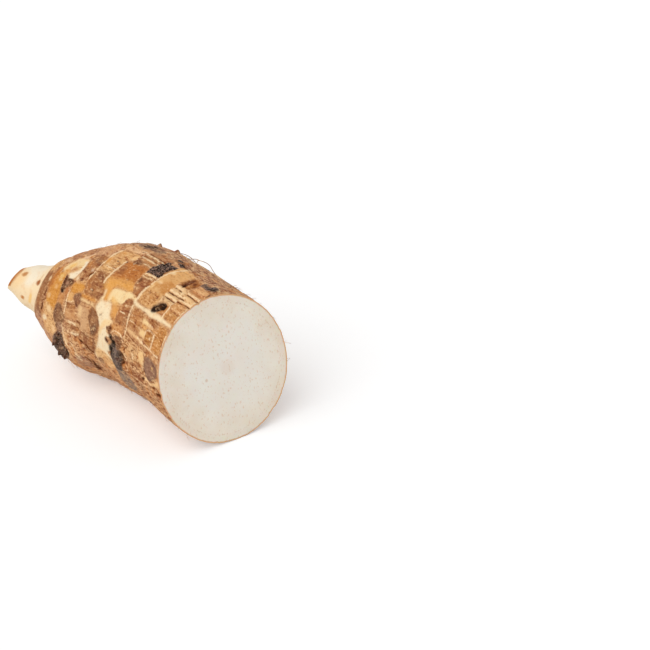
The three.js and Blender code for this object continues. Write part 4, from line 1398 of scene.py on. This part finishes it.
class Shader(Nodes):
    """Builds one material's node tree."""

    def __init__(self, name, **settings):
        self.material = bpy.data.materials.new(name)
        self.material.use_nodes = True
        super().__init__(self.material.node_tree)
        self.surface = self.tree.nodes["Principled BSDF"]
        for socket, value in settings.items():
            self.surface.inputs[socket.replace("_", " ")].default_value = value

    def dress(self, socket, value):
        """Links one input of the surface."""
        self.fill(self.surface.inputs[socket], value)

    def field(self, name, output="Fac"):
        return self.add("ShaderNodeAttribute", attribute_name=name).outputs[output]

    def place(self):
        return self.add("ShaderNodeTexCoord").outputs["Object"]

    def noise(self, vector, scale, detail=3.0, roughness=0.55, distortion=0.0):
        return self.add("ShaderNodeTexNoise", {
            "Vector": vector, "Scale": scale, "Detail": detail,
            "Roughness": roughness, "Distortion": distortion})

    def centred(self, value):
        return self.maths("SUBTRACT", value, 0.5)

    def stretch(self, vector, amounts):
        return self.add("ShaderNodeMapping", {"Vector": vector, "Scale": amounts})

    def ramp(self, value, low, high, to_low=0.0, to_high=1.0):
        """An eased ramp of a value, from to_low at low to to_high at high."""
        return self.add("ShaderNodeMapRange", {
            "Value": value, "From Min": low, "From Max": high,
            "To Min": to_low, "To Max": to_high}, interpolation_type="SMOOTHSTEP")

    def mix(self, factor, first, second, blend="MIX"):
        node = self.add("ShaderNodeMix", {0: factor, 6: first, 7: second},
                        data_type="RGBA", blend_type=blend)
        return node.outputs[2]

    def wash(self, colour, mask, over, share, blend="MIX"):
        """Lays a share of another colour over a colour where the mask is 1."""
        return self.mix(self.maths("MULTIPLY", mask, share), colour, over, blend)

    def bump(self, height, strength, distance, normal=None):
        links = {"Height": height, "Strength": strength, "Distance": distance}
        if normal is not None:
            links["Normal"] = normal
        return self.add("ShaderNodeBump", links)


# scale in lumps a millimetre, detail, roughness and distortion of the skin's noises
BLOTCHES = (0.34, 5.0, 0.68, 0.9)
STRANDS = (0.85, 5.0, 0.74, 0.5)
CRUMBS = (1.1, 4.0, 0.78, 0.3)
RUST_PLACES = (0.16, 3.0, 0.6, 0.8)
CLOUD_PLACES = (0.24, 3.0, 0.6, 0.7)
SPLIT_PATHS = (0.6, 3.0, 0.62, 0.9)
CLINKER = (1.0, 4.0, 0.7, 0.3)
STRAND_STRETCH = (0.3, 1.0, 1.0)  # draws a noise out along the grain
CRUMB_STRETCH = (0.6, 1.0, 1.0)

# how much each noise adds to the skin's tone
BLOTCH_TONE, STRAND_TONE, CRUMB_TONE = 0.9, 1.35, 1.75
SMOOTH_MOTTLE = 0.1  # crumbs that even smooth skin has

# colour and strength of each mark on the skin, and how it is laid
# the hollows' stain, deepened with painted shade
HOLLOW_STAIN_AND_SHADE = ((0.48, 0.26, 0.165, 1.0), 0.95, "MULTIPLY")
CRESTS = (opaque(240, 196, 142), 0.66)
RUST = (opaque(212, 134, 62), 0.35)
CLOUDS = (opaque(232, 172, 104), 0.28)
SPLITS = ((0.36, 0.18, 0.11, 1.0), 0.8, "MULTIPLY")
EDGES = (opaque(246, 214, 168), 0.8)
CRACK_SHARE = 0.92
# painted shade in the cracks, deepest in the strongest ones
SHALLOW_CRACK_SHADE, DEEP_CRACK_SHADE = opaque(116, 60, 28), opaque(44, 22, 12)
# burnt clinker: black, and on its knobs grey ash with painted glints
BURNT_DARK, BURNT_ASH_AND_GLINT = opaque(30, 21, 17), opaque(172, 130, 106)
MARK_BREAKS = 1.6  # how strongly the crumbs break up the edges and the cracks

# where each mask is 0 and where it is 1
HOLLOW_TONE, CREST_TONE = (0.0, -0.2), (0.0, 0.19)
RUST_RANGE, CLOUD_RANGE, CLOUD_GLOSS = (0.52, 0.66), (0.5, 0.68), (0.2, 0.5)
SPLIT_PATH, SPLIT_BLOTCH = (0.012, 0.002), (0.49, 0.39)
EDGE_RANGE, CRACK_RANGE, FAINT_MARK = (0.3, 0.8), (0.35, 0.8), (0.05, 0.25)
DEEP_RANGE, BURNT_RANGE, CHAR_RANGE = (0.7, 0.95), (0.45, 0.63), (0.15, 0.75)
DARK_RANGE, DULL_RANGE, GLOSS_RANGE = (0.1, 0.02), (0.0, 0.8), (0.0, 0.6)

ROUGH_DULL, ROUGH_GLOSSY, ROUGH_CHAR = 0.74, 0.48, 0.42
SHINE, DARK_SHINE = 0.3, 0.04
TONE_BUMP = (0.18, 0.0009)  # strength, and height in metres
CLINKER_BUMP = (0.9, 0.0016)


def skin_material():
    """Fibrous brown skin with bare windows, pale scale edges, dark cracks of painted shade and black scars.
    """
    s = Shader("tuber_skin", Roughness=0.7, Specular_IOR_Level=SHINE)
    grain = s.field("grain", "Vector")
    strand_grain, crumb_grain = s.stretch(grain, STRAND_STRETCH), s.stretch(grain, CRUMB_STRETCH)
    fibre, mottle, gloss, char = (s.field(name) for name in ("fibre", "mottle", "gloss", "char"))
    rough_skin = s.maths("MAXIMUM", fibre, mottle)
    blotches = s.noise(crumb_grain, *BLOTCHES)
    strands = s.noise(strand_grain, *STRANDS)
    crumbs = s.noise(crumb_grain, *CRUMBS)
    clinker = s.noise(grain, *CLINKER)

    # each kind of skin is darker in its hollows, from its stain and painted shade, and paler on its crests
    def lean(value, amount, reach):
        return s.maths("MULTIPLY", s.centred(value), s.maths("MULTIPLY", amount, reach))

    tone = s.maths("ADD", lean(blotches, rough_skin, BLOTCH_TONE), lean(strands, fibre, STRAND_TONE))
    tone = s.maths("ADD", tone, lean(crumbs, s.maths("ADD", mottle, SMOOTH_MOTTLE), CRUMB_TONE))
    colour = s.field("tint", "Color")
    colour = s.wash(colour, s.ramp(tone, *HOLLOW_TONE), *HOLLOW_STAIN_AND_SHADE)
    colour = s.wash(colour, s.ramp(tone, *CREST_TONE), *CRESTS)
    rust = s.maths("MULTIPLY", s.ramp(s.noise(grain, *RUST_PLACES), *RUST_RANGE), rough_skin)
    colour = s.wash(colour, rust, *RUST)
    clouds = s.ramp(s.noise(grain, *CLOUD_PLACES), *CLOUD_RANGE)
    clouds = s.maths("MULTIPLY", clouds, s.ramp(gloss, *CLOUD_GLOSS))
    colour = s.wash(colour, clouds, *CLOUDS)

    # short wandering cracks in the rough skin
    path = s.maths("ABSOLUTE", s.centred(s.noise(strand_grain, *SPLIT_PATHS)))
    short = s.maths("MULTIPLY", s.ramp(path, *SPLIT_PATH), s.ramp(blotches, *SPLIT_BLOTCH))
    colour = s.wash(colour, s.maths("MULTIPLY", short, rough_skin), *SPLITS)

    # edges of scales, cracks and charred scars, broken up by the crumbs; the pale edges also carry the
    # painted highlights on the groove lips, the cracks are painted shade, and the scars' pale knobs carry
    # painted glints
    broken = s.maths("MULTIPLY", s.centred(crumbs), MARK_BREAKS)

    def worn(value, where):
        mark = s.ramp(s.maths("ADD", value, broken), *where)
        return s.maths("MULTIPLY", mark, s.ramp(value, *FAINT_MARK))

    colour = s.wash(colour, worn(s.field("line"), EDGE_RANGE), *EDGES)
    # painted shade in the cracks
    shaded_crack_field = s.field("shaded_crack")
    shaded_crack = worn(shaded_crack_field, CRACK_RANGE)
    depths = s.mix(s.ramp(shaded_crack_field, *DEEP_RANGE), SHALLOW_CRACK_SHADE, DEEP_CRACK_SHADE)
    colour = s.wash(colour, shaded_crack, depths, CRACK_SHARE, "DARKEN")
    # the clinker's knobs: grey ash with painted glints
    burnt = s.mix(s.ramp(clinker, *BURNT_RANGE), BURNT_DARK, BURNT_ASH_AND_GLINT)
    colour = s.mix(s.ramp(char, *CHAR_RANGE), colour, burnt)
    s.dress("Base Color", colour)

    brightness = s.add("ShaderNodeRGBToBW", {0: colour})
    dull = s.maths("MAXIMUM", shaded_crack, s.ramp(brightness, *DARK_RANGE))
    s.dress("Specular IOR Level", s.ramp(dull, *DULL_RANGE, SHINE, DARK_SHINE))
    rough = s.ramp(gloss, *GLOSS_RANGE, ROUGH_DULL, ROUGH_GLOSSY)
    s.dress("Roughness", s.add("ShaderNodeMix", {0: char, 2: rough, 3: ROUGH_CHAR}, data_type="FLOAT"))
    normal = s.bump(tone, *TONE_BUMP)
    s.dress("Normal", s.bump(s.maths("MULTIPLY", clinker, char), *CLINKER_BUMP, normal))
    return s.material


# scale in lumps a metre, detail and roughness of the flesh's noises
RIM_RAGS, RIM_RAG_DEPTH = (700, 3.0), 0.5
FLESH_CLOUDS = (60, 3.0)
FIBRE_ENDS = (1100, 1.0)
FLESH_GRAIN = (900, 4.0, 0.6)
FLESH_BUMP = (0.25, 0.0002)
FIBRE_STRETCH = (1.0, 1.0, 0.7)

FLESH_DARK, FLESH_PALE = opaque(243, 229, 209), opaque(251, 241, 226)
HEART = (opaque(251, 244, 235), 0.6)
FIBRE_END = (opaque(222, 168, 112), 0.36)
OUTER_FLESH = (opaque(230, 212, 186), 0.12)
FAINT_RING = (opaque(212, 172, 130), 0.38)
UNDER_SKIN = opaque(222, 170, 118)
FLESH_MARK = opaque(214, 142, 72)
MARK_CORE = 0.3  # share of a mark's reach over which it is full
CLOUDED, END_RANGE, DOT_RANGE = (0.3, 0.7), (0.62, 0.72), (0.5, 0.62)

# millimetres inside the edge where each zone of the cut is not there yet, and where it is full
HEART_DEPTH = (5.0, 20.0)
OUTER_DEPTH = (3.9, 2.9)
FAINT_RING_START, FAINT_RING_END = (3.3, 3.7), (4.3, 3.9)
UNDER_SKIN_DEPTH = (0.95, 0.3)

# place, reach in millimetres and strength of the small brown marks on the cut
FLESH_MARKS = [
    ((59.3, -17.7, 31.1), 1.1, 0.4), ((62.5, -6.1, 33.7), 5.5, 0.1), ((57.0, -22.2, 33.7), 0.6, 0.35),
    ((64.9, -8.8, 23.2), 0.7, 0.35), ((49.4, -30.4, 48.8), 0.6, 0.3), ((53.3, -25.4, 41.9), 0.6, 0.3),
    ((60.2, -6.4, 40.9), 0.6, 0.3),
]


def flesh_material():
    """Moist white flesh: a thin brown rim, a faint ring inside it and fine fibre ends."""
    s = Shader("cut_flesh", Roughness=0.42, Subsurface_Weight=0.25, Subsurface_Scale=0.004)
    place = s.place()
    ragged = s.maths("MULTIPLY", s.centred(s.noise(place, *RIM_RAGS)), RIM_RAG_DEPTH)
    depth = s.maths("ADD", s.field("inset"), ragged)
    colour = s.mix(s.ramp(s.noise(place, *FLESH_CLOUDS), *CLOUDED), FLESH_DARK, FLESH_PALE)
    colour = s.wash(colour, s.ramp(depth, *HEART_DEPTH), *HEART)
    ends = s.ramp(s.noise(s.stretch(place, FIBRE_STRETCH), *FIBRE_ENDS), *END_RANGE)
    colour = s.wash(colour, ends, *FIBRE_END)
    colour = s.wash(colour, s.ramp(depth, *OUTER_DEPTH), *OUTER_FLESH)
    ring = s.maths("MULTIPLY", s.ramp(depth, *FAINT_RING_START), s.ramp(depth, *FAINT_RING_END))
    ring = s.maths("MULTIPLY", ring, s.ramp(s.noise(place, *FIBRE_ENDS), *DOT_RANGE))
    colour = s.wash(colour, ring, *FAINT_RING)
    for spot, reach, strength in FLESH_MARKS:
        middle = tuple(value * MM for value in spot)
        away = s.add("ShaderNodeVectorMath", {0: place, 1: middle}, operation="DISTANCE")
        millimetres = s.maths("MULTIPLY", away.outputs["Value"], 1 / MM)
        mark = s.ramp(millimetres, reach, MARK_CORE * reach)
        colour = s.wash(colour, mark, FLESH_MARK, strength)
    colour = s.mix(s.ramp(depth, *UNDER_SKIN_DEPTH), colour, UNDER_SKIN)
    s.dress("Base Color", colour)
    s.dress("Normal", s.bump(s.noise(place, *FLESH_GRAIN), *FLESH_BUMP))
    return s.material


ROOT_CLOUDS = (300, 2.0)
ROOT_GRAIN = (1500, 2.0)
ROOT_BUMP = (0.3, 0.0002)
ROOT_RANGE = (0.35, 0.65)
ROOT_DARK, ROOT_PALE = opaque(140, 98, 66), opaque(214, 178, 136)


def root_material():
    """Dry tan rootlets and torn shreds of sheath."""
    s = Shader("dry_rootlets", Roughness=0.8)
    place = s.place()
    clouds = s.ramp(s.noise(place, *ROOT_CLOUDS), *ROOT_RANGE)
    s.dress("Base Color", s.mix(clouds, ROOT_DARK, ROOT_PALE))
    s.dress("Normal", s.bump(s.noise(place, *ROOT_GRAIN), *ROOT_BUMP))
    return s.material


# --- rootlets and shreds, made by Geometry Nodes ---

SWING = ((-0.25, -0.5, -0.7), (0.25, 0.05, 0.7))  # least and most turn off the grain, in radians
SIZES = (0.4, 1.2)  # smallest and largest scale of a scattered piece
STRAND_ROOT = -0.0002  # how deep a strand is rooted, in metres
STRAND_TAPER = (1.0, 0.3)
SHRED_THICKNESS = 0.00012
ROOTLET_TAPER = (1.3, 0.5)
ROOTLET_SIDES, STRAND_SIDES, STRAND_STEPS = 6, 3, 4


class Tree(Nodes):
    """Builds one Geometry Nodes tree with named size inputs."""

    def __init__(self, name, **sizes):
        super().__init__(bpy.data.node_groups.new(name, "GeometryNodeTree"))
        face = self.tree.interface
        face.new_socket("Geometry", in_out="INPUT", socket_type="NodeSocketGeometry")
        face.new_socket("Geometry", in_out="OUTPUT", socket_type="NodeSocketGeometry")
        self.keys = {}
        for label, kind in sizes.items():
            socket = face.new_socket(label, in_out="INPUT", socket_type=kind)
            self.keys[label] = socket.identifier
        self.inside = self.tree.nodes.new("NodeGroupInput")
        self.out = self.tree.nodes.new("NodeGroupOutput")

    def size(self, label):
        return self.inside.outputs[label]

    def tapered(self, curve, taper, sides, radius):
        """A round tube along a curve, thinner at its end."""
        along = self.add("GeometryNodeSplineParameter")
        share = self.add("ShaderNodeMapRange", {
            "Value": along, "To Min": taper[0], "To Max": taper[1]})
        thin = self.add("GeometryNodeSetCurveRadius", {"Curve": curve, "Radius": share})
        ring = self.add("GeometryNodeCurvePrimitiveCircle", {"Resolution": sides, "Radius": radius})
        return self.add("GeometryNodeCurveToMesh", {
            "Curve": thin, "Profile Curve": ring, "Fill Caps": True})

    def finish(self, geometry, material):
        real = self.add("GeometryNodeRealizeInstances", {"Geometry": geometry})
        dressed = self.add("GeometryNodeSetMaterial", {"Geometry": real, "Material": material})
        self.fill(self.out.inputs["Geometry"], dressed)


def grown(name, host_mesh, tree, values):
    """Runs a tree on a mesh and returns the result as a plain mesh object."""
    host = linked(name + "_host", host_mesh)
    modifier = host.modifiers.new("grow", "NODES")
    modifier.node_group = tree.tree
    for label, value in values.items():
        modifier[tree.keys[label]] = value
    evaluated = host.evaluated_get(bpy.context.evaluated_depsgraph_get())
    mesh = bpy.data.meshes.new_from_object(evaluated)
    host.modifiers.clear()
    bpy.data.objects.remove(host)
    mesh.name = name
    return linked(name, mesh)


def scatter_tree(name, material, shape):
    """Small shapes over the skin where it frays, laid along its grain."""
    t = Tree(name, Density="NodeSocketFloat", Length="NodeSocketFloat", Width="NodeSocketFloat",
             Lift="NodeSocketFloat", Seed="NodeSocketInt")
    frayed = t.add("GeometryNodeInputNamedAttribute", {"Name": "fray"}, data_type="FLOAT")
    flow = t.add("GeometryNodeInputNamedAttribute", {"Name": "flow"}, data_type="FLOAT_VECTOR")
    points = t.add("GeometryNodeDistributePointsOnFaces", {
        "Mesh": t.inside.outputs["Geometry"], "Seed": t.size("Seed"),
        "Density": t.maths("MULTIPLY", t.size("Density"), frayed)})
    upright = t.add("FunctionNodeAlignRotationToVector", {"Vector": points.outputs["Normal"]}, axis="Z")
    laid = t.add("FunctionNodeAlignRotationToVector", {"Rotation": upright, "Vector": flow},
                 axis="X", pivot_axis="Z")
    swing = t.add("FunctionNodeRandomValue", {
        "Min": SWING[0], "Max": SWING[1], "Seed": t.size("Seed")}, data_type="FLOAT_VECTOR")
    turned = t.add("FunctionNodeRotateRotation", {"Rotation": laid, "Rotate By": swing},
                   rotation_space="LOCAL")
    scale = t.add("FunctionNodeRandomValue", {
        2: SIZES[0], 3: SIZES[1], "Seed": t.size("Seed")}, data_type="FLOAT")
    placed = t.add("GeometryNodeInstanceOnPoints", {
        "Points": points, "Instance": shape(t),
        "Rotation": turned, "Scale": scale.outputs[1]})
    t.finish(placed, material)
    return t


def strand_shape(t):
    """A thin tapering rootlet that rises from the skin and bends back to it."""
    lift = t.add("ShaderNodeCombineXYZ", {"X": t.size("Width"), "Z": t.size("Lift")})
    end = t.add("ShaderNodeCombineXYZ", {"X": t.size("Length")})
    curve = t.add("GeometryNodeCurveQuadraticBezier", {
        "Resolution": STRAND_STEPS, "Start": (0, 0, STRAND_ROOT), "Middle": lift, "End": end})
    return t.tapered(curve, STRAND_TAPER, STRAND_SIDES, t.size("Width"))


def shred_shape(t):
    """A papery shred of sheath: a thin slab, curled up at both ends."""
    slab = t.add("ShaderNodeCombineXYZ", {
        "X": t.size("Length"), "Y": t.size("Width"), "Z": SHRED_THICKNESS})
    cube = t.add("GeometryNodeMeshCube", {
        "Size": slab, "Vertices X": 4, "Vertices Y": 2, "Vertices Z": 2})
    place = t.add("GeometryNodeInputPosition")
    apart = t.add("ShaderNodeSeparateXYZ", {"Vector": place})
    forward = t.maths("DIVIDE", apart.outputs["X"], t.size("Length"))
    rise = t.maths("MULTIPLY", t.maths("MULTIPLY", forward, forward), t.size("Lift"))
    offset = t.add("ShaderNodeCombineXYZ", {"Z": rise})
    return t.add("GeometryNodeSetPosition", {"Geometry": cube, "Offset": offset})


# along, around, lift of each point of the longer rootlets
ROOTLETS = [
    [(89, -37, -0.4), (90.6, -39.5, 0.6), (93, -40, 1.8), (95, -40.5, 2.1), (97, -41, 2.5),
     (99.1, -41.5, 2.7), (101.6, -42, 2.3), (103.5, -42.5, 1.3), (105.3, -43, 0.5), (108, -43, -0.2)],
    [(95, -40.5, 2.1), (94.2, -40, 1.5), (94.8, -39, 0.2)],
    [(86, -30, -0.3), (88, -33, 0.9), (91, -36, 1.2), (94, -39, 0.2)],
    [(128, -75, 0.0), (124, -80, 1.6), (119, -84, 2.2), (113, -88, 0.6)],
    [(70, -120, 0.0), (75, -124, 1.4), (81, -128, 1.2), (86, -130, 0.0)],
    [(60, -35, 0.0), (66, -38, 1.2), (72, -42, 1.0), (76, -46, 0.0)],
]
ROOTLET_RADIUS = 0.16 * MM
ROOTLET_STEP = 0.8 * MM


def rootlet_tree(material):
    """Tapering round strands along the edges of a mesh of paths."""
    t = Tree("rootlets", Radius="NodeSocketFloat", Step="NodeSocketFloat")
    paths = t.add("GeometryNodeMeshToCurve", {"Mesh": t.inside.outputs["Geometry"]})
    rounded_path = t.add("GeometryNodeCurveSplineType", {"Curve": paths},
                         spline_type="CATMULL_ROM")
    stepped = t.add("GeometryNodeResampleCurve", {"Curve": rounded_path, "Length": t.size("Step")},
                    mode="LENGTH")
    t.finish(t.tapered(stepped, ROOTLET_TAPER, ROOTLET_SIDES, t.size("Radius")), material)
    return t


def make_rootlets(material):
    """The few longer rootlets, each along its own path."""
    points, edges = [], []
    for route in ROOTLETS:
        edges += [(len(points) + k, len(points) + k + 1) for k in range(len(route) - 1)]
        points += [tuple(surface_point(*place) * MM) for place in route]
    paths = bpy.data.meshes.new("rootlet_paths")
    paths.from_pydata(points, edges, [])
    sizes = {"Radius": ROOTLET_RADIUS, "Step": ROOTLET_STEP}
    return grown("rootlets", paths, rootlet_tree(material), sizes)


# --- camera, light and floor ---

LENS, SENSOR = 85.0, 36.0
CLIP_START, CLIP_END = 0.01, 20
CAMERA_BEARING, CAMERA_HEIGHT, CAMERA_DISTANCE = 35.0, 29.0, 0.713
AIM_FROM_MIDDLE = Vector((0.09467, 0.02707, 0.01656))

SKY_STRENGTH = 0.58
SUN_STRENGTH, SUN_SOFTNESS = 1.5, 70.0
SUN_BEARING, SUN_HEIGHT = -15.0, 45.0
WHITE = (1, 1, 1, 1)
FLOOR_COLOUR = (0.82, 0.82, 0.82, 1)
FLOOR_HALF = 6.0
FLOOR_LIFT = 0.3  # of plain white, which the camera alone sees


def direction(bearing, height):
    """Unit vector towards a bearing and a height, in degrees; bearing 0 is -Y."""
    a, e = math.radians(bearing), math.radians(height)
    return Vector((math.sin(a) * math.cos(e), -math.cos(a) * math.cos(e), math.sin(e)))


def make_camera():
    low, high = (Vector(corner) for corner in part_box("tuber"))
    aim = (low + high) / 2 + AIM_FROM_MIDDLE
    back = direction(CAMERA_BEARING, CAMERA_HEIGHT)
    data = bpy.data.cameras.new("camera")
    data.lens = LENS
    data.sensor_width = SENSOR
    data.clip_start = CLIP_START
    data.clip_end = CLIP_END
    camera = linked("camera", data)
    camera.location = aim + back * CAMERA_DISTANCE
    camera.rotation_mode = "QUATERNION"
    camera.rotation_quaternion = (-back).to_track_quat("-Z", "Y")
    bpy.context.scene.camera = camera


def make_sun():
    data = bpy.data.lights.new("sun", "SUN")
    data.energy = SUN_STRENGTH
    data.angle = math.radians(SUN_SOFTNESS)
    sun = linked("sun", data)
    sun.rotation_mode = "QUATERNION"
    sun.rotation_quaternion = direction(SUN_BEARING, SUN_HEIGHT).to_track_quat("Z", "Y")


def make_sky():
    """A soft grey sky, which is plain white to the camera and in glossy or clear things."""
    world = bpy.data.worlds.new("studio")
    world.use_nodes = True
    bpy.context.scene.world = world
    sky = Nodes(world.node_tree)
    path = sky.add("ShaderNodeLightPath").outputs
    seen = sky.maths("MAXIMUM", path["Is Camera Ray"], path["Is Glossy Ray"])
    seen = sky.maths("MAXIMUM", seen, path["Is Transmission Ray"])
    strength = sky.add("ShaderNodeMapRange", {"Value": seen, "To Min": SKY_STRENGTH, "To Max": 1.0})
    background = world.node_tree.nodes["Background"]
    background.inputs["Color"].default_value = WHITE
    sky.fill(background.inputs["Strength"], strength)


def make_floor():
    """A pale floor, white to the camera, that keeps the shadow."""
    mesh = bpy.data.meshes.new("floor")
    corners = [(-1, -1), (1, -1), (1, 1), (-1, 1)]
    mesh.from_pydata([(FLOOR_HALF * x, FLOOR_HALF * y, FLOOR_Z) for x, y in corners], [], [(0, 1, 2, 3)])
    s = Shader("floor", Roughness=0.9, Specular_IOR_Level=0.0, Base_Color=FLOOR_COLOUR,
               Emission_Color=WHITE)
    seen = s.add("ShaderNodeLightPath").outputs["Is Camera Ray"]
    s.dress("Emission Strength", s.maths("MULTIPLY", seen, FLOOR_LIFT))
    mesh.materials.append(s.material)
    floor = linked("floor", mesh)


# --- the scene ---

make_camera()
make_sun()
make_sky()
make_floor()
bpy.context.scene.view_settings.view_transform = "Standard"

body = make_body()
dry = root_material()
strands = grown("skin_fibres", body.data.copy(), scatter_tree("skin_fibres", dry, strand_shape), {
    "Density": 60000.0, "Length": 3.2 * MM, "Width": 0.07 * MM, "Lift": 0.9 * MM, "Seed": 4})
shreds = grown("sheath_shreds", body.data.copy(), scatter_tree("sheath_shreds", dry, shred_shape), {
    "Density": 9000.0, "Length": 2.2 * MM, "Width": 0.9 * MM, "Lift": 1.6 * MM, "Seed": 9})
rootlets = make_rootlets(dry)

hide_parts("tuber")
for piece in (body, strands, shreds, rootlets):
    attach(piece, "root")
